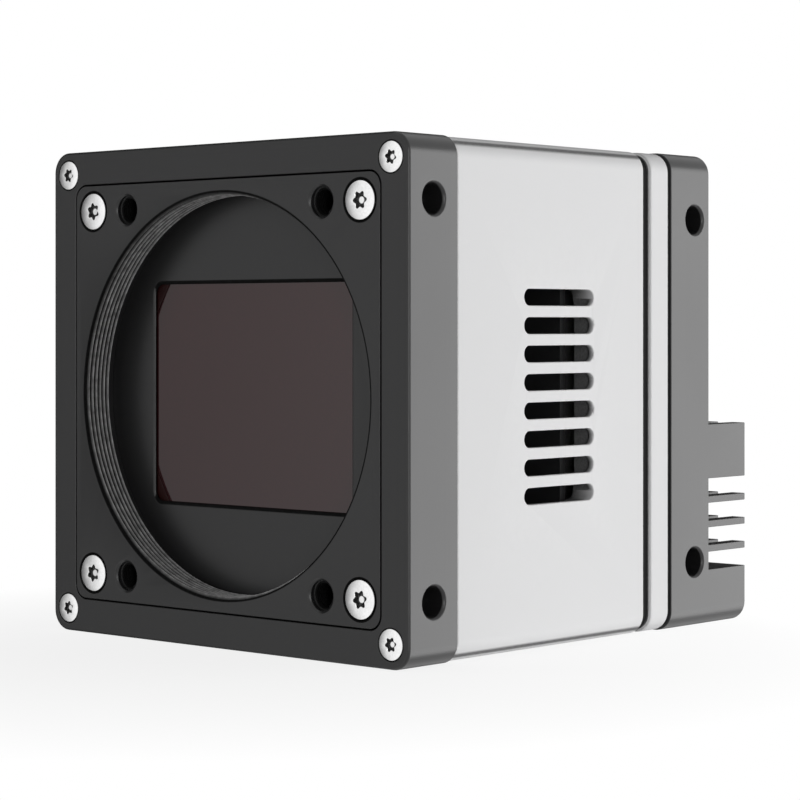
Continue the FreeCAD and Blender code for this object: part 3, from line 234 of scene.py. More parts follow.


# Finishes, one for each material of the camera

# grain and cloud are a scale and an amount, rows a scale, a colour and an amount, tracks a scale and a colour
# a finish's rubbed edge colour lightens its edges and crests, partly as bare metal showing through and partly
# as a painted highlight; its last colour is the painted shade of its seats, gaps, keys and dark insides
finishes = {
    "black_anodised": dict(colour=(0.014, 0.014, 0.0145), roughness=0.34, grain=(5200, 0.25),
                           cloud=(45, 0.06), bump=0.10, wornAndSheen=(0.22, 0.22, 0.22), wearAndSheen=0.10, gloss=0.42,
                           paintedShade=(0.002, 0.002, 0.002)),
    "black_thread": dict(colour=(0.010, 0.010, 0.010), roughness=0.35, grain=(5200, 0.25), cloud=(200, 0.1),
                         bump=0.05, wornAndSheen=(0.75, 0.75, 0.75), wearAndSheen=1.8, gloss=0.15, sharpness=4.0),
    "silver_anodised": dict(colour=(0.66, 0.66, 0.665), roughness=0.50, grain=(4600, 0.035), cloud=(30, 0.02),
                            bump=0.06, wornAndSheen=(0.95, 0.95, 0.95), wearAndSheen=1.2, gloss=0.2,
                            paintedShade=(0.035, 0.035, 0.035)),
    "screw_steel": dict(colour=(0.93, 0.93, 0.93), roughness=0.32, grain=(3000, 0.30), cloud=(500, 0.20),
                        bump=0.15, metallic=1.0, paintedShade=(0.015, 0.015, 0.015)),
    "dark_red_anodised": dict(colour=(0.018, 0.003, 0.003), roughness=0.26, grain=(4000, 0.2),
                              cloud=(60, 0.1), bump=0.05, gloss=0.14),
    "black_rubber": dict(colour=(0.010, 0.010, 0.010), roughness=0.62, grain=(2600, 0.3), cloud=(80, 0.1),
                         bump=0.2, gloss=0.06),
    "sensor_ceramic": dict(colour=(0.10, 0.06, 0.05), roughness=0.55, grain=(3000, 0.2), cloud=(200, 0.1),
                           bump=0.1),
    "silicon": dict(colour=(0.075, 0.065, 0.085), roughness=0.15, grain=(900, 0.05), cloud=(50, 0.1),
                    bump=0.0, rows=(2600, (0.11, 0.09, 0.12), 0.5)),
    "nickelled_metal": dict(colour=(0.62, 0.60, 0.56), roughness=0.24, grain=(3000, 0.06), cloud=(300, 0.05),
                            bump=0.03, metallic=1.0),
    "thermal_pad": dict(colour=(0.33, 0.40, 0.47), roughness=0.75, grain=(1800, 0.25), cloud=(150, 0.1),
                        bump=0.25),
    "bare_aluminium": dict(colour=(0.60, 0.60, 0.60), roughness=0.34, grain=(2500, 0.08), cloud=(90, 0.05),
                           bump=0.05, metallic=0.9, rows=(700, (0.66, 0.66, 0.66), 0.35)),
    "black_plastic": dict(colour=(0.020, 0.020, 0.021), roughness=0.5, grain=(2200, 0.25), cloud=(70, 0.1),
                          bump=0.15),
    "bearing_brass": dict(colour=(0.60, 0.44, 0.19), roughness=0.4, grain=(5000, 0.2), cloud=(300, 0.1),
                          bump=0.1, metallic=1.0),
    "coil_copper": dict(colour=(0.45, 0.19, 0.09), roughness=0.32, grain=(2000, 0.1), cloud=(200, 0.1),
                        bump=0.3, metallic=0.9, rows=(1400, (0.72, 0.36, 0.2), 0.8)),
    "chip_plastic": dict(colour=(0.028, 0.028, 0.029), roughness=0.55, grain=(3500, 0.25), cloud=(120, 0.1),
                         bump=0.12),
    "white_insulator": dict(colour=(0.78, 0.78, 0.75), roughness=0.38, grain=(1500, 0.04), cloud=(200, 0.04),
                            bump=0.03),
    "contact_gold": dict(colour=(0.83, 0.61, 0.25), roughness=0.2, grain=(3000, 0.05), cloud=(300, 0.05),
                         bump=0.02, metallic=1.0),
    "light_lens": dict(colour=(0.72, 0.78, 0.73), roughness=0.3, grain=(1200, 0.05), cloud=(300, 0.05),
                       bump=0.02),
    "circuit_board": dict(colour=(0.008, 0.075, 0.028), roughness=0.35, grain=(2500, 0.1), cloud=(60, 0.1),
                          bump=0.15, tracks=(260, (0.02, 0.15, 0.055))),
}


coatValues = {"roughnessSpread": 0.08, "relief": 0.02 * mm}


def opaque(colour):
    return (*colour, 1.0)


def makeFinish(name, colour, roughness, grain, cloud, bump, metallic=0.0, wornAndSheen=None, wearAndSheen=0.0, rows=None,
               tracks=None, gloss=0.5, sharpness=2.0, paintedShade=None):
    material = bpy.data.materials.new(name)
    material.use_nodes = True
    tree = material.node_tree
    shader = tree.nodes["Principled BSDF"]
    shader.inputs["Metallic"].default_value = metallic
    shader.inputs["Specular IOR Level"].default_value = gloss
    place = tree.nodes.new("ShaderNodeTexCoord").outputs["Object"]

    def placeGroup(group, settings, colourSocket=None):
        node = tree.nodes.new("ShaderNodeGroup")
        node.node_tree = group
        tree.links.new(place, node.inputs["Vector"])
        for label, value in settings.items():
            node.inputs[label].default_value = value
        if colourSocket is not None:
            tree.links.new(colourSocket, node.inputs["Colour"])
        return node

    coat = placeGroup(grainGroup, {
        "Colour": opaque(colour), "Grain Scale": grain[0], "Grain Amount": grain[1], "Cloud Scale": cloud[0],
        "Cloud Amount": cloud[1], "Roughness": roughness, "Roughness Spread": coatValues["roughnessSpread"]})
    height = coat.outputs["Height"]
    pattern = None
    if tracks:
        pattern = placeGroup(trackGroup, {"Mask Colour": opaque(colour), "Track Colour": opaque(tracks[1]),
                                          "Scale": tracks[0]})
    if rows:
        pattern = placeGroup(rowGroup, {"Colour": opaque(colour), "Line Colour": opaque(rows[1]),
                                        "Scale": rows[0], "Amount": rows[2]})
    if pattern:
        tree.links.new(pattern.outputs["Colour"], coat.inputs["Colour"])
        height = mathNode(tree, "ADD", height, pattern.outputs["Height"])
    finished = coat.outputs["Colour"]
    # edges and crests lightened, partly as rubbed coat and partly as a painted highlight
    if wornAndSheen:
        edge = tree.nodes.new("ShaderNodeAttribute")
        edge.attribute_name = "edge"
        rubAndSheen = placeGroup(edgeWearAndSheenGroup, {"Worn And Sheen Colour": opaque(wornAndSheen), "Amount": wearAndSheen, "Sharpness": sharpness},
                         finished)
        tree.links.new(edge.outputs["Fac"], rubAndSheen.inputs["Edge"])
        finished = rubAndSheen.outputs["Colour"]
    roughSocket = coat.outputs["Roughness"]
    # painted shade from the shade attribute: darker colour, more roughness and less gloss
    if paintedShade:
        shade = tree.nodes.new("ShaderNodeAttribute")
        shade.attribute_name = "shade"
        deep = placeGroup(paintedShadeGroup, {"Painted Shade Colour": opaque(paintedShade), "Gloss": gloss}, finished)
        tree.links.new(shade.outputs["Fac"], deep.inputs["Shade"])
        tree.links.new(roughSocket, deep.inputs["Roughness"])
        finished = deep.outputs["Colour"]
        roughSocket = deep.outputs["Roughness"]
        tree.links.new(deep.outputs["Gloss"], shader.inputs["Specular IOR Level"])
    tree.links.new(finished, shader.inputs["Base Color"])
    tree.links.new(roughSocket, shader.inputs["Roughness"])
    relief = tree.nodes.new("ShaderNodeBump")
    relief.inputs["Strength"].default_value = bump
    relief.inputs["Distance"].default_value = coatValues["relief"]
    tree.links.new(height, relief.inputs["Height"])
    tree.links.new(relief.outputs["Normal"], shader.inputs["Normal"])
    return material


# slow bands in the glass's colour: their scale and detail, and what they do to red, green and blue
glassBands = {"scale": 25.0, "detail": 1.0, "shift": (0.9, 1.05, 1.1)}


def makeGlass(name, colour, roughness, alpha):
    material = bpy.data.materials.new(name)
    material.use_nodes = True
    tree = material.node_tree
    shader = tree.nodes["Principled BSDF"]
    shader.inputs["Roughness"].default_value = roughness
    shader.inputs["Alpha"].default_value = alpha
    place = tree.nodes.new("ShaderNodeTexCoord").outputs["Object"]
    bands = noiseNode(tree, place, glassBands["scale"], glassBands["detail"])
    other = [part * shift for part, shift in zip(colour, glassBands["shift"])]
    tree.links.new(mixColours(tree, bands, opaque(colour), opaque(other)), shader.inputs["Base Color"])
    return material


finish = {name: makeFinish(name, **values) for name, values in finishes.items()}
finish["filter_glass"] = makeGlass("filter_glass", (0.032, 0.006, 0.007), roughness=0.04, alpha=1.0)
finish["clear_glass"] = makeGlass("clear_glass", (0.55, 0.6, 0.6), roughness=0.02, alpha=0.35)
slotOf = {part["node"]: part["material_slot"] for part in frame["record"]["subparts"]}
print("finishes ready:", len(finish))


# Pieces that take the solids' own shape, with their edges softened

def meshObject(name, mesh):
    piece = bpy.data.objects.new(name, mesh)
    bpy.context.scene.collection.objects.link(piece)
    return piece


def settle(piece, body, slot, *replaced, finishName=None):
    piece.data.materials.clear()
    piece.data.materials.append(finish[finishName or slot])
    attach(piece, body)
    if replaced:
        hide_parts(*replaced)
    return piece


def bakeModifiers(piece):
    evaluated = piece.evaluated_get(bpy.context.evaluated_depsgraph_get())
    mesh = bpy.data.meshes.new_from_object(evaluated)
    piece.modifiers.clear()
    piece.data = mesh
    return piece


# the cut corners of the filter glass and its holder at +x: where they are, and how far they close up
cuts = {"nodes": ("filter_glass", "filter_holder"), "x": (15.0 * mm, 17.5 * mm), "reach": 4.4 * mm,
        "z": (7.0 * mm, 9.0 * mm), "rise": 7.9 * mm}


def closeFarCuts(mesh):
    # the photo shows cut corners only on the left, so on the right the glass is nearly square
    for vertex in mesh.vertices:
        place = vertex.co
        if cuts["x"][0] < place.x < cuts["x"][1]:
            place.x += cuts["reach"]
        elif place.x > cuts["x"][1] and cuts["z"][0] < abs(place.z) < cuts["z"][1]:
            place.z += math.copysign(cuts["rise"], place.z)


# what is merged before an edge is rounded, and which edges count as sharp
soft = {"merge": 0.001 * mm, "flat": math.radians(0.4), "sharp": math.radians(35), "segments": 2}


def softened(nodeName, pieceName, body, slot, width):
    mesh = nodes[nodeName].data.copy()
    if "custom_normal" in mesh.attributes:
        mesh.attributes.remove(mesh.attributes["custom_normal"])
    if nodeName in cuts["nodes"]:
        closeFarCuts(mesh)
    work = bmesh.new()
    work.from_mesh(mesh)
    bmesh.ops.remove_doubles(work, verts=work.verts, dist=soft["merge"])
    bmesh.ops.dissolve_limit(work, angle_limit=soft["flat"], verts=work.verts, edges=work.edges)
    for face in work.faces:
        face.smooth = True
        face.material_index = 0
    work.to_mesh(mesh)
    work.free()
    piece = meshObject(pieceName, mesh)
    mesh.materials.clear()
    mesh.materials.append(finish[slot])
    mesh.materials.append(finish[slot])  # a second slot, by which markEdges knows the rounded faces
    bevel = piece.modifiers.new("softEdges", "BEVEL")
    bevel.width = width
    bevel.segments = soft["segments"]
    bevel.limit_method = "ANGLE"
    bevel.angle_limit = soft["sharp"]
    bevel.use_clamp_overlap = False
    bevel.material = 1
    even = piece.modifiers.new("evenNormals", "WEIGHTED_NORMAL")
    even.keep_sharp = True
    bakeModifiers(piece)
    markEdges(piece.data)
    return settle(piece, body, slot, nodeName)


def markEdges(mesh):
    # an attribute that is 1 where only rounded faces meet, and 0 where half of them or fewer are rounded
    faces = [0] * len(mesh.vertices)
    rounded = [0] * len(mesh.vertices)
    for face in mesh.polygons:
        for vertex in face.vertices:
            faces[vertex] += 1
            rounded[vertex] += face.material_index
        face.material_index = 0
    layer = mesh.attributes.new("edge", "FLOAT", "POINT")
    shares = [max(0.0, 2.0 * part / count - 1.0) if count else 0.0 for part, count in zip(rounded, faces)]
    layer.data.foreach_set("value", shares)


edgeWidths = {  # the softened piece's name, and how much of its edges is rounded off
    "front_plate": ("frontPlate", 0.14 * mm), "lens_mount_plate": ("mountPlate", 0.08 * mm),
    "housing_shell": ("shell", 0.20 * mm), "body_seal": ("seal", 0.10 * mm), "rear_ring": ("ring", 0.16 * mm),
    "rear_plate": ("rearPlate", 0.10 * mm), "filter_holder": ("filterHolder", 0.08 * mm),
    "filter_glass": ("filterGlass", 0.02 * mm),
    "data_sockets": ("dataSockets", 0.10 * mm), "power_socket": ("powerSocket", 0.12 * mm),
}
softPieces = {}
for nodeName, (pieceName, width) in edgeWidths.items():
    softPieces[nodeName] = softened(nodeName, pieceName, "camera", slotOf[nodeName], width)

# the window in the floor behind the bore, and how far its rim is widened above and below the glass
window = {"width": 40.0 * mm, "height": 32.2 * mm, "corner": 1.5 * mm, "floor": 6.0 * mm,
          "chamfer": 0.2 * mm, "rim": 0.6 * mm, "lip": 0.02 * mm, "round": 0.05 * mm, "widen": 0.2 * mm,
          "reach": 1.15}


def widenWindowRim(mesh):
    low = window["height"] / 2 - window["corner"]
    for vertex in mesh.vertices:
        place = vertex.co
        across = (abs(place.z) - low) / (window["corner"] + window["chamfer"])
        onRim = 0.0 < across < window["reach"] and abs(place.x) < window["width"] / 2 + window["rim"]
        if onRim and abs(place.y - window["floor"]) < window["round"]:
            place.z += math.copysign(window["widen"] * min(1.0, across), place.z)


def onWindowWall(place):
    # painted shade on the chamfers above and below the glass, and on the walls beside it past their chamfers,
    # which are left light
    inside = (abs(place.x) < window["width"] / 2 + window["rim"]
              and abs(place.z) < window["height"] / 2 + window["rim"])
    level = abs(place.z) > window["height"] / 2 - window["corner"] and abs(place.x) < window["width"] / 2
    return inside and place.y > window["floor"] + (window["lip"] if level else window["chamfer"])


# the bore's mouth: its radius, which points are its rounded edge, and how far that widens
mouth = {"radius": 29.0 * mm, "round": 0.10 * mm, "half": 0.05 * mm, "skin": 0.004 * mm,
         "deep": 0.12 * mm, "wide": 0.25 * mm, "line": 0.06 * mm}


def widenMouth(mesh):
    # draws the rounded edge round the bore out into a narrow chamfer
    for vertex in mesh.vertices:
        place = vertex.co
        reach = math.hypot(place.x, place.z)
        if -mouth["skin"] < reach - mouth["radius"] < mouth["round"] and place.y < mouth["half"]:
            grown = mouth["wide"] if place.y < mouth["skin"] else mouth["wide"] - mouth["line"]
            place.x *= (reach + grown) / reach
            place.z *= (reach + grown) / reach


def onMouth(place):
    # painted shade on that chamfer, less its outer line, which it shares with the face
    off = math.hypot(place.x, place.z) - mouth["radius"]
    return mouth["skin"] < place.y < mouth["deep"] and -mouth["skin"] < off < mouth["wide"]


seats = {  # screw axes from the middle of the face, and how far the painted shade of the seat reaches
    "front_plate": dict(x=32.7 * mm, z=32.6 * mm, radius=2.45 * mm, depth=0.03 * mm),
    "lens_mount_plate": dict(x=27.1 * mm, z=27.0 * mm, radius=3.23 * mm, depth=0.03 * mm),
}


def inSeat(place, seat):
    off = math.hypot(abs(place.x) - seat["x"], abs(place.z) - seat["z"])
    return place.y > seat["depth"] and off < seat["radius"]


# painted shade on the inside of the shell, and on the edges that face each other across the groove behind it
dark = {"inside": 0.6 * mm, "gapEdge": 0.03 * mm, "insideShade": 0.82, "gapShade": 0.9}
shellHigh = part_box("housing_shell")[1]
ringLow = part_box("rear_ring")[0]


def shellShade(place):
    inside = max(abs(place.x), abs(place.z)) < shellHigh.x - dark["inside"]
    return dark["insideShade"] if inside else dark["gapShade"] * (place.y > shellHigh.y - dark["gapEdge"])


def ringShade(place):
    return dark["gapShade"] * (place.y < ringLow.y + dark["gapEdge"])


def markShade(mesh, shadeAt):
    # an attribute for painted shade, which is 1 where it fills a seat, a gap or a dark inside
    layer = mesh.attributes.new("shade", "FLOAT", "POINT")
    layer.data.foreach_set("value", [float(shadeAt(vertex.co)) for vertex in mesh.vertices])


widenWindowRim(softPieces["front_plate"].data)
widenMouth(softPieces["lens_mount_plate"].data)
for nodeName, seat in seats.items():
    markShade(softPieces[nodeName].data,
              lambda place: inSeat(place, seat) or onWindowWall(place) or onMouth(place))
markShade(softPieces["housing_shell"].data, shellShade)
markShade(softPieces["rear_ring"].data, ringShade)
for nodeName, node in nodes.items():
    for slot in node.material_slots:
        slot.material = finish[slotOf[nodeName]]
print("housing pieces ready")


# Screws with six-lobed keys, one modelled and set in the four corners

def nodeTree(name, inputs):
    tree = bpy.data.node_groups.new(name, "GeometryNodeTree")
    tree.is_modifier = True
    for label, kind in inputs:
        tree.interface.new_socket(label, in_out="INPUT", socket_type=kind)
    tree.interface.new_socket("Geometry", in_out="OUTPUT", socket_type="NodeSocketGeometry")
    given = tree.nodes.new("NodeGroupInput").outputs
    return tree, given, tree.nodes.new("NodeGroupOutput").inputs["Geometry"]


def addNode(tree, kind, values=None, links=None, **settings):
    node = tree.nodes.new(kind)
    for label, value in settings.items():
        setattr(node, label, value)
    for label, value in (values or {}).items():
        node.inputs[label].default_value = value
    for label, socket in (links or {}).items():
        tree.links.new(socket, node.inputs[label])
    return node


def endTree(tree, geometry, material, output):
    real = addNode(tree, "GeometryNodeRealizeInstances", links={"Geometry": geometry})
    painted = addNode(tree, "GeometryNodeSetMaterial",
                      links={"Geometry": real.outputs[0], "Material": material})
    tree.links.new(painted.outputs[0], output)


def runTree(name, tree, values):
    piece = meshObject(name, bpy.data.meshes.new(name))
    modifier = piece.modifiers.new("nodes", "NODES")
    modifier.node_group = tree
    for item in tree.interface.items_tree:
        if item.item_type == "SOCKET" and item.in_out == "INPUT":
            modifier[item.identifier] = values[item.name]
    return bakeModifiers(piece)


keyTurn = math.radians(60)  # a six-lobed key looks the same after this turn


def makeCornerTree():
    # one object on each of four corners, each at a turn of its own
    tree, given, output = nodeTree("setInCorners", [
        ("Screw", "NodeSocketObject"), ("Width", "NodeSocketFloat"), ("Height", "NodeSocketFloat"),
        ("Place", "NodeSocketVector"), ("Facing", "NodeSocketFloat"), ("Seed", "NodeSocketInt"),
        ("Material", "NodeSocketMaterial")])
    corners = addNode(tree, "GeometryNodeMeshGrid", {"Vertices X": 2, "Vertices Y": 2},
                      {"Size X": given["Width"], "Size Y": given["Height"]})
    upright = addNode(tree, "GeometryNodeTransform", {"Rotation": (math.pi / 2, 0, 0)},
                      {"Geometry": corners.outputs["Mesh"], "Translation": given["Place"]})
    turned = addNode(tree, "FunctionNodeRandomValue", {}, {"Seed": given["Seed"]}, data_type="FLOAT")
    turned.inputs[3].default_value = keyTurn  # the highest value of the range, which starts at 0
    spin = addNode(tree, "ShaderNodeCombineXYZ", {}, {"Y": turned.outputs[1], "Z": given["Facing"]})
    screw = addNode(tree, "GeometryNodeObjectInfo", {}, {"Object": given["Screw"]})
    placed = addNode(tree, "GeometryNodeInstanceOnPoints", {}, {
        "Points": upright.outputs[0], "Instance": screw.outputs["Geometry"], "Rotation": spin.outputs[0]})
    endTree(tree, placed.outputs[0], given["Material"], output)
    return tree


screwSides = 72
crease = math.radians(32)  # edges of a turned piece that bend more than this stay sharp


def turnedMesh(name, rings, sides):
    # rings of depth, radius and painted shade, from the middle of the head out and back to the middle of the
    # tip
    mesh = bpy.data.meshes.new(name)
    work = bmesh.new()
    shadeLayer = work.verts.layers.float.new("shade")
    loops = []
    for depth, radius, shade in rings:
        loop = []
        for step in range(1 if radius == 0 else sides):
            angle = 2 * math.pi * step / sides
            reach = radius(angle) if callable(radius) else radius
            vertex = work.verts.new((reach * math.cos(angle), depth, reach * math.sin(angle)))
            vertex[shadeLayer] = shade
            loop.append(vertex)
        loops.append(loop)
    for first, second in zip(loops, loops[1:]):
        for step in range(sides):
            after = (step + 1) % sides
            corners = [first[step % len(first)], first[after % len(first)], second[after % len(second)],
                       second[step % len(second)]]
            work.faces.new(list(dict.fromkeys(corners)))
    bmesh.ops.recalc_face_normals(work, faces=work.faces)
    for edge in work.edges:
        edge.smooth = edge.calc_face_angle(0.0) < crease
    for face in work.faces:
        face.smooth = True
    work.to_mesh(mesh)
    work.free()
    return mesh


screwShape = {
    "lobes": 6, "outer": 0.47, "inner": 0.33,  # the key's radii, as shares of the head's
    "bright": 0.15, "dark": 0.20,  # where the key's floor turns from bright to dark under its painted shade, as such shares
    "deep": 0.42 * mm, "draft": 0.02 * mm, "wall": 0.06 * mm,  # the key's floor, and the top of its wall
    "bend": 0.02 * mm, "opening": 0.06 * mm, "bendShade": 0.6,  # the rounded edge round the key
    "rim": 0.09 * mm, "rimDeep": 0.4, "rimIn": 0.25, "rimShade": 0.8,  # the rounded edge of the head
    "lip": 0.10 * mm, "tip": 0.4,  # the head's straight side, and the tip's slope as a share of the shank
}


def modelScrew(name, head, shank, length):
    shape = screwShape

    def key(grow):
        middle = head * (shape["outer"] + shape["inner"]) / 2 + grow
        swing = head * (shape["outer"] - shape["inner"]) / 2
        return lambda angle: middle + swing * math.cos(shape["lobes"] * angle)

    deep, rim = shape["deep"], shape["rim"]
    lower = rim + shape["lip"]
    # each ring's last value is painted shade: dark on the key's walls and outer floor, partly on the rounded
    # edges, down the head's side and the shank, fading to none at the tip, and none on the face and the
    # middle of the key's floor
    rings = [
        (deep, 0, 0.0), (deep, head * shape["bright"], 0.0), (deep, head * shape["dark"], 1.0),
        (deep, key(-shape["draft"]), 1.0), (shape["wall"], key(0), 1.0),
        (shape["bend"], key(shape["opening"] / 2), shape["bendShade"]), (0, key(shape["opening"]), 0.0),
        (0, head - rim, 0.0), (rim * shape["rimDeep"], head - rim * shape["rimIn"], 0.0),
        (rim, head, shape["rimShade"]), (lower, head, 1.0), (lower + head - shank, shank, 1.0),
        (length - shank * shape["tip"], shank, 0.0), (length, shank * (1 - shape["tip"]), 0.0),
        (length, 0, 0.0),
    ]
    return meshObject(name, turnedMesh(name, rings, screwSides))


screwSets = {  # head and shank are radii here, and solid is the radius of the head in the solids
    "front_screws": dict(name="frontScrews", head=2.12 * mm, solid=2.2 * mm, shank=1.19 * mm, facing=0.0,
                         seed=4),
    "mount_plate_screws": dict(name="mountScrews", head=2.68 * mm, solid=2.82 * mm, shank=1.44 * mm,
                               facing=0.0, seed=11),
    "rear_screws": dict(name="rearScrews", head=2.17 * mm, solid=2.2 * mm, shank=1.19 * mm, facing=math.pi,
                        seed=7),
}
cornerTree = makeCornerTree()
for nodeName, screws in screwSets.items():
    low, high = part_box(nodeName)
    template = modelScrew(screws["name"] + "Model", screws["head"], screws["shank"], high.y - low.y)
    face = low.y if screws["facing"] == 0.0 else high.y
    # the box of the four screws, less a head, gives the distances between their axes
    piece = runTree(screws["name"], cornerTree, {
        "Screw": template, "Width": high.x - low.x - 2 * screws["solid"],
        "Height": high.z - low.z - 2 * screws["solid"], "Place": (0.0, face, 0.0),
        "Facing": screws["facing"], "Seed": screws["seed"], "Material": finish["screw_steel"]})
    bpy.data.objects.remove(template)
    settle(piece, "camera", "screw_steel", nodeName)
print("screws ready")


# The fine thread in the mount's bore, and the threads of the four tapped holes round it

threadValues = {"Radius": 29.033 * mm, "Ridge": 0.433 * mm, "Pitch": 0.75 * mm, "Turns": 6.0,
                "Start": 0.27 * mm, "Resolution": 180}
entry = {"radius": 29.0 * mm, "depth": 0.12 * mm, "slope": 0.75}  # the chamfer that the thread starts in
ridgeSides = 3


def makeThreadTree():
    # a three-sided ridge along a helix, which turns about the y axis
    tree, given, output = nodeTree("boreThread", [
        ("Radius", "NodeSocketFloat"), ("Ridge", "NodeSocketFloat"), ("Pitch", "NodeSocketFloat"),
        ("Turns", "NodeSocketFloat"), ("Start", "NodeSocketFloat"), ("Resolution", "NodeSocketInt"),
        ("Material", "NodeSocketMaterial")])
    rise = mathNode(tree, "MULTIPLY", given["Pitch"], given["Turns"])
    spiral = addNode(tree, "GeometryNodeCurveSpiral", {}, {
        "Resolution": given["Resolution"], "Rotations": given["Turns"], "Start Radius": given["Radius"],
        "End Radius": given["Radius"], "Height": rise})
    level = addNode(tree, "GeometryNodeSetCurveNormal", {}, {"Curve": spiral.outputs[0]}, mode="Z_UP")
    shape = addNode(tree, "GeometryNodeCurvePrimitiveCircle", {"Resolution": ridgeSides},
                    {"Radius": given["Ridge"]})
    ridge = addNode(tree, "GeometryNodeCurveToMesh", {"Fill Caps": True}, {
        "Curve": level.outputs[0], "Profile Curve": shape.outputs[0]})
    shift = addNode(tree, "ShaderNodeCombineXYZ", {}, {"Y": given["Start"]})
    along = addNode(tree, "GeometryNodeTransform", {"Rotation": (-math.pi / 2, 0, 0)}, {
        "Geometry": ridge.outputs[0], "Translation": shift.outputs[0]})
    endTree(tree, along.outputs[0], given["Material"], output)
    return tree


def markCrests(mesh, crest, root):
    # an attribute that is 1 on the thread's crests and 0 at its root
    layer = mesh.attributes.new("edge", "FLOAT", "POINT")
    heights = [(root - math.hypot(vertex.co.x, vertex.co.z)) / (root - crest) for vertex in mesh.vertices]
    layer.data.foreach_set("value", [min(1.0, max(0.0, height)) for height in heights])


def cutEntry(mesh):
    # keeps the thread behind the face, and cuts its first crests back to the chamfer
    for vertex in mesh.vertices:
        vertex.co.y = max(vertex.co.y, entry["depth"] / 2)
        limit = entry["radius"] - entry["slope"] * max(0.0, vertex.co.y - entry["depth"])
        reach = math.hypot(vertex.co.x, vertex.co.z)
        if reach < limit:
            vertex.co.x *= limit / reach
            vertex.co.z *= limit / reach


threadTree = makeThreadTree()
thread = runTree("lensThread", threadTree, {**threadValues, "Material": finish["black_thread"]})
cutEntry(thread.data)
# the edge mask lights the crests, mostly as a painted highlight
markCrests(thread.data, threadValues["Radius"] - threadValues["Ridge"], threadValues["Radius"])
settle(thread, "camera", "black_anodised", finishName="black_thread")

tapValues = {"Radius": 2.13 * mm, "Ridge": 0.404 * mm, "Pitch": 0.7 * mm, "Turns": 6.0, "Start": 0.62 * mm,
             "Resolution": 24}
tapPlaces = {"Width": 39.6 * mm, "Height": 54.0 * mm, "Place": (0.0, 0.0, 0.0), "Facing": 0.0, "Seed": 3}
tapShade = {"from": 0.55 * mm, "over": 0.6 * mm}  # how soon painted shade sets in down the hole, and over what length it deepens
tap = runTree("tapModel", threadTree, {**tapValues, "Material": finish["black_anodised"]})
markShade(tap.data, lambda place: min(1.0, max(0.0, (place.y - tapShade["from"]) / tapShade["over"])))
taps = runTree("adapterThreads", cornerTree,
               {**tapPlaces, "Screw": tap, "Material": finish["black_anodised"]})
bpy.data.objects.remove(tap)
settle(taps, "camera", "black_anodised")
print("threads ready")


# Camera, floor and light

view = {"place": (0.25647, -0.24835, 0.01045), "turn": (90.0, 0.0, 41.8), "lens": 112.7, "sensor": 36.0,
        "drop": -0.097, "nearest": 0.01}
cameraData = bpy.data.cameras.new("viewCamera")
cameraData.lens = view["lens"]
cameraData.sensor_width = view["sensor"]
cameraData.shift_y = view["drop"]
cameraData.clip_start = view["nearest"]
viewCamera = bpy.data.objects.new("viewCamera", cameraData)
viewCamera.location = view["place"]
viewCamera.rotation_euler = [math.radians(angle) for angle in view["turn"]]
bpy.context.scene.collection.objects.link(viewCamera)
bpy.context.scene.camera = viewCamera

lamps = {  # shows says whether the gloss of the pieces shows the lamp
    "rightSoftbox": dict(toward=(0.70, 0.71, -0.12), away=0.75, width=0.60, height=0.76, radiance=3.85,
                         shows=True),
    "frontSoftbox": dict(toward=(-0.75, -0.62, 0.10), away=0.70, width=0.20, height=0.30, radiance=10.0,
                         shows=False),
    "edgeLight": dict(toward=(0.80, -0.60, 0.10), away=0.70, width=0.08, height=0.30, radiance=12.0,
                      shows=True),
}
for lampName, lamp in lamps.items():
    data = bpy.data.lights.new(lampName, "AREA")
    data.shape = "RECTANGLE"
    data.size = lamp["width"]
    data.size_y = lamp["height"]
    data.energy = lamp["radiance"] * math.pi * lamp["width"] * lamp["height"]
    toward = Vector(lamp["toward"]).normalized()
    lampObject = bpy.data.objects.new(lampName, data)
    lampObject.visible_camera = False
    lampObject.visible_glossy = lamp["shows"]
    lampObject.location = toward * lamp["away"]
    lampObject.rotation_euler = toward.to_track_quat("Z", "Y").to_euler()
    bpy.context.scene.collection.objects.link(lampObject)


def seenRays(tree):
    # 1 for the rays that show a surface, and 0 for those that only light others
    path = tree.nodes.new("ShaderNodeLightPath").outputs
    direct = mathNode(tree, "MAXIMUM", path["Is Camera Ray"], path["Is Glossy Ray"])
    return mathNode(tree, "MAXIMUM", direct, path["Is Transmission Ray"])


worldDim = 0.20  # how bright the world is as a light, where it is seen as white


def makeWorld():
    world = bpy.data.worlds.new("studio")
    world.use_nodes = True
    tree = world.node_tree
    shade = mixColours(tree, seenRays(tree), opaque([worldDim] * 3), opaque([1.0] * 3))
    tree.links.new(shade, tree.nodes["Background"].inputs["Color"])
    return world


def makeSheet(name, corners, material):
    mesh = bpy.data.meshes.new(name)
    mesh.from_pydata(corners, [], [(0, 1, 2, 3)])
    mesh.materials.append(material)
    return meshObject(name, mesh)


bpy.context.scene.world = makeWorld()

floorValues = {"reach": 3.0, "gap": 0.02 * mm, "roughness": 0.9, "tints": (0.90, 0.93), "tintScale": 40.0,
               "shadowReach": 0.22, "shadowShare": 0.20}


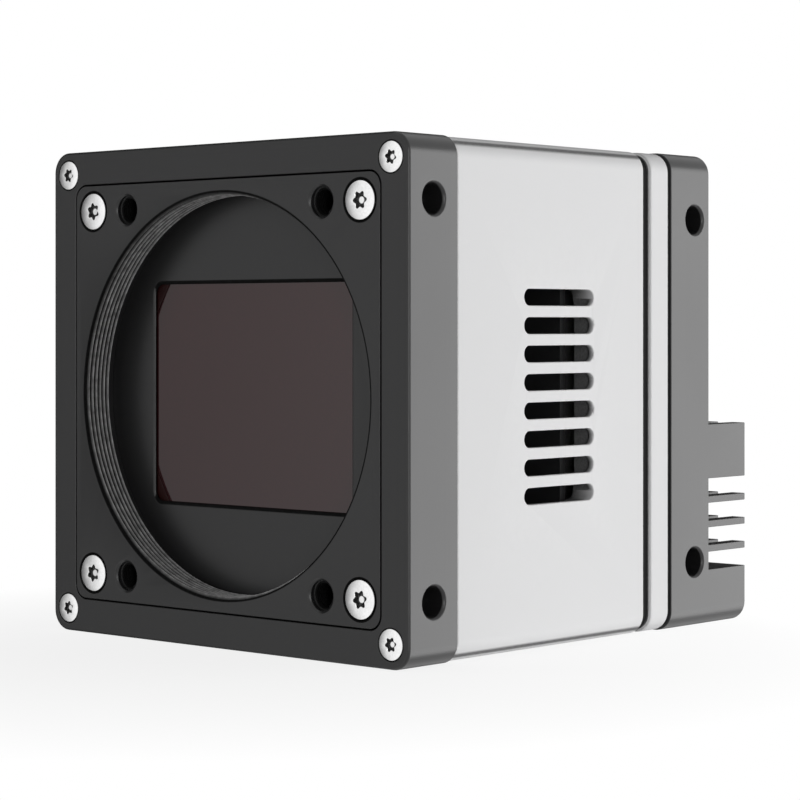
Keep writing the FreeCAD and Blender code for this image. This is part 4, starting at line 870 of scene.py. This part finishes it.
def makeFloorMaterial():
    # seen from the camera the floor fades to the white of the background away from the object
    material = bpy.data.materials.new("paleFloor")
    material.use_nodes = True
    tree = material.node_tree
    shader = tree.nodes["Principled BSDF"]
    shader.inputs["Roughness"].default_value = floorValues["roughness"]
    shader.inputs["Specular IOR Level"].default_value = 0.0
    place = tree.nodes.new("ShaderNodeTexCoord").outputs["Object"]
    darker, lighter = [opaque([tint] * 3) for tint in floorValues["tints"]]
    tint = mixColours(tree, noiseNode(tree, place, floorValues["tintScale"], fine), darker, lighter)
    tree.links.new(tint, shader.inputs["Base Color"])
    away = tree.nodes.new("ShaderNodeVectorMath")
    away.operation = "LENGTH"
    tree.links.new(place, away.inputs[0])
    fade = mathNode(tree, "DIVIDE", away.outputs["Value"], floorValues["shadowReach"])
    share = mathNode(tree, "ADD", mathNode(tree, "POWER", fade, 2.0), 1.0 - floorValues["shadowShare"])
    white = mathNode(tree, "MINIMUM", share, 1.0)
    glow = tree.nodes.new("ShaderNodeEmission")
    mix = tree.nodes.new("ShaderNodeMixShader")
    tree.links.new(mathNode(tree, "MULTIPLY", white, seenRays(tree)), mix.inputs[0])
    tree.links.new(shader.outputs[0], mix.inputs[1])
    tree.links.new(glow.outputs[0], mix.inputs[2])
    tree.links.new(mix.outputs[0], tree.nodes["Material Output"].inputs["Surface"])
    return material


def makeFloor():
    height = cadBox[0][2] - floorValues["gap"]
    reach = floorValues["reach"]
    corners = [(x * reach, y * reach, height) for x, y in ((-1, -1), (1, -1), (1, 1), (-1, 1))]
    floor = makeSheet("floor", corners, makeFloorMaterial())
    floor.visible_glossy = False
    floor.visible_shadow = False


makeFloor()

# a card beside the object, which only its gloss shows: dark behind, and it grows to white at the front
card = {"x": -0.6, "y": (-0.85, 1.7), "z": (-0.7, 0.9), "middle": -0.32, "rise": -2.0, "least": 0.04}


def makeCardMaterial():
    material = bpy.data.materials.new("shadedCard")
    material.use_nodes = True
    tree = material.node_tree
    place = tree.nodes.new("ShaderNodeTexCoord").outputs["Object"]
    parts = tree.nodes.new("ShaderNodeSeparateXYZ")
    tree.links.new(place, parts.inputs[0])
    slope = mathNode(tree, "MULTIPLY", parts.outputs["Y"], card["rise"])
    shade = mathNode(tree, "MAXIMUM", mathNode(tree, "ADD", slope, card["middle"]), card["least"])
    shade = mathNode(tree, "MINIMUM", shade, 1.0)
    glow = tree.nodes.new("ShaderNodeEmission")
    tree.links.new(shade, glow.inputs["Color"])
    tree.links.new(glow.outputs[0], tree.nodes["Material Output"].inputs["Surface"])
    return material


def makeCard():
    (front, back), (low, high) = card["y"], card["z"]
    corners = [(card["x"], y, z) for y, z in ((front, low), (back, low), (back, high), (front, high))]
    sheet = makeSheet("sideCard", corners, makeCardMaterial())
    sheet.visible_camera = sheet.visible_diffuse = sheet.visible_transmission = sheet.visible_shadow = False


makeCard()
bpy.context.scene.view_settings.view_transform = "Standard"
print("camera and light ready")
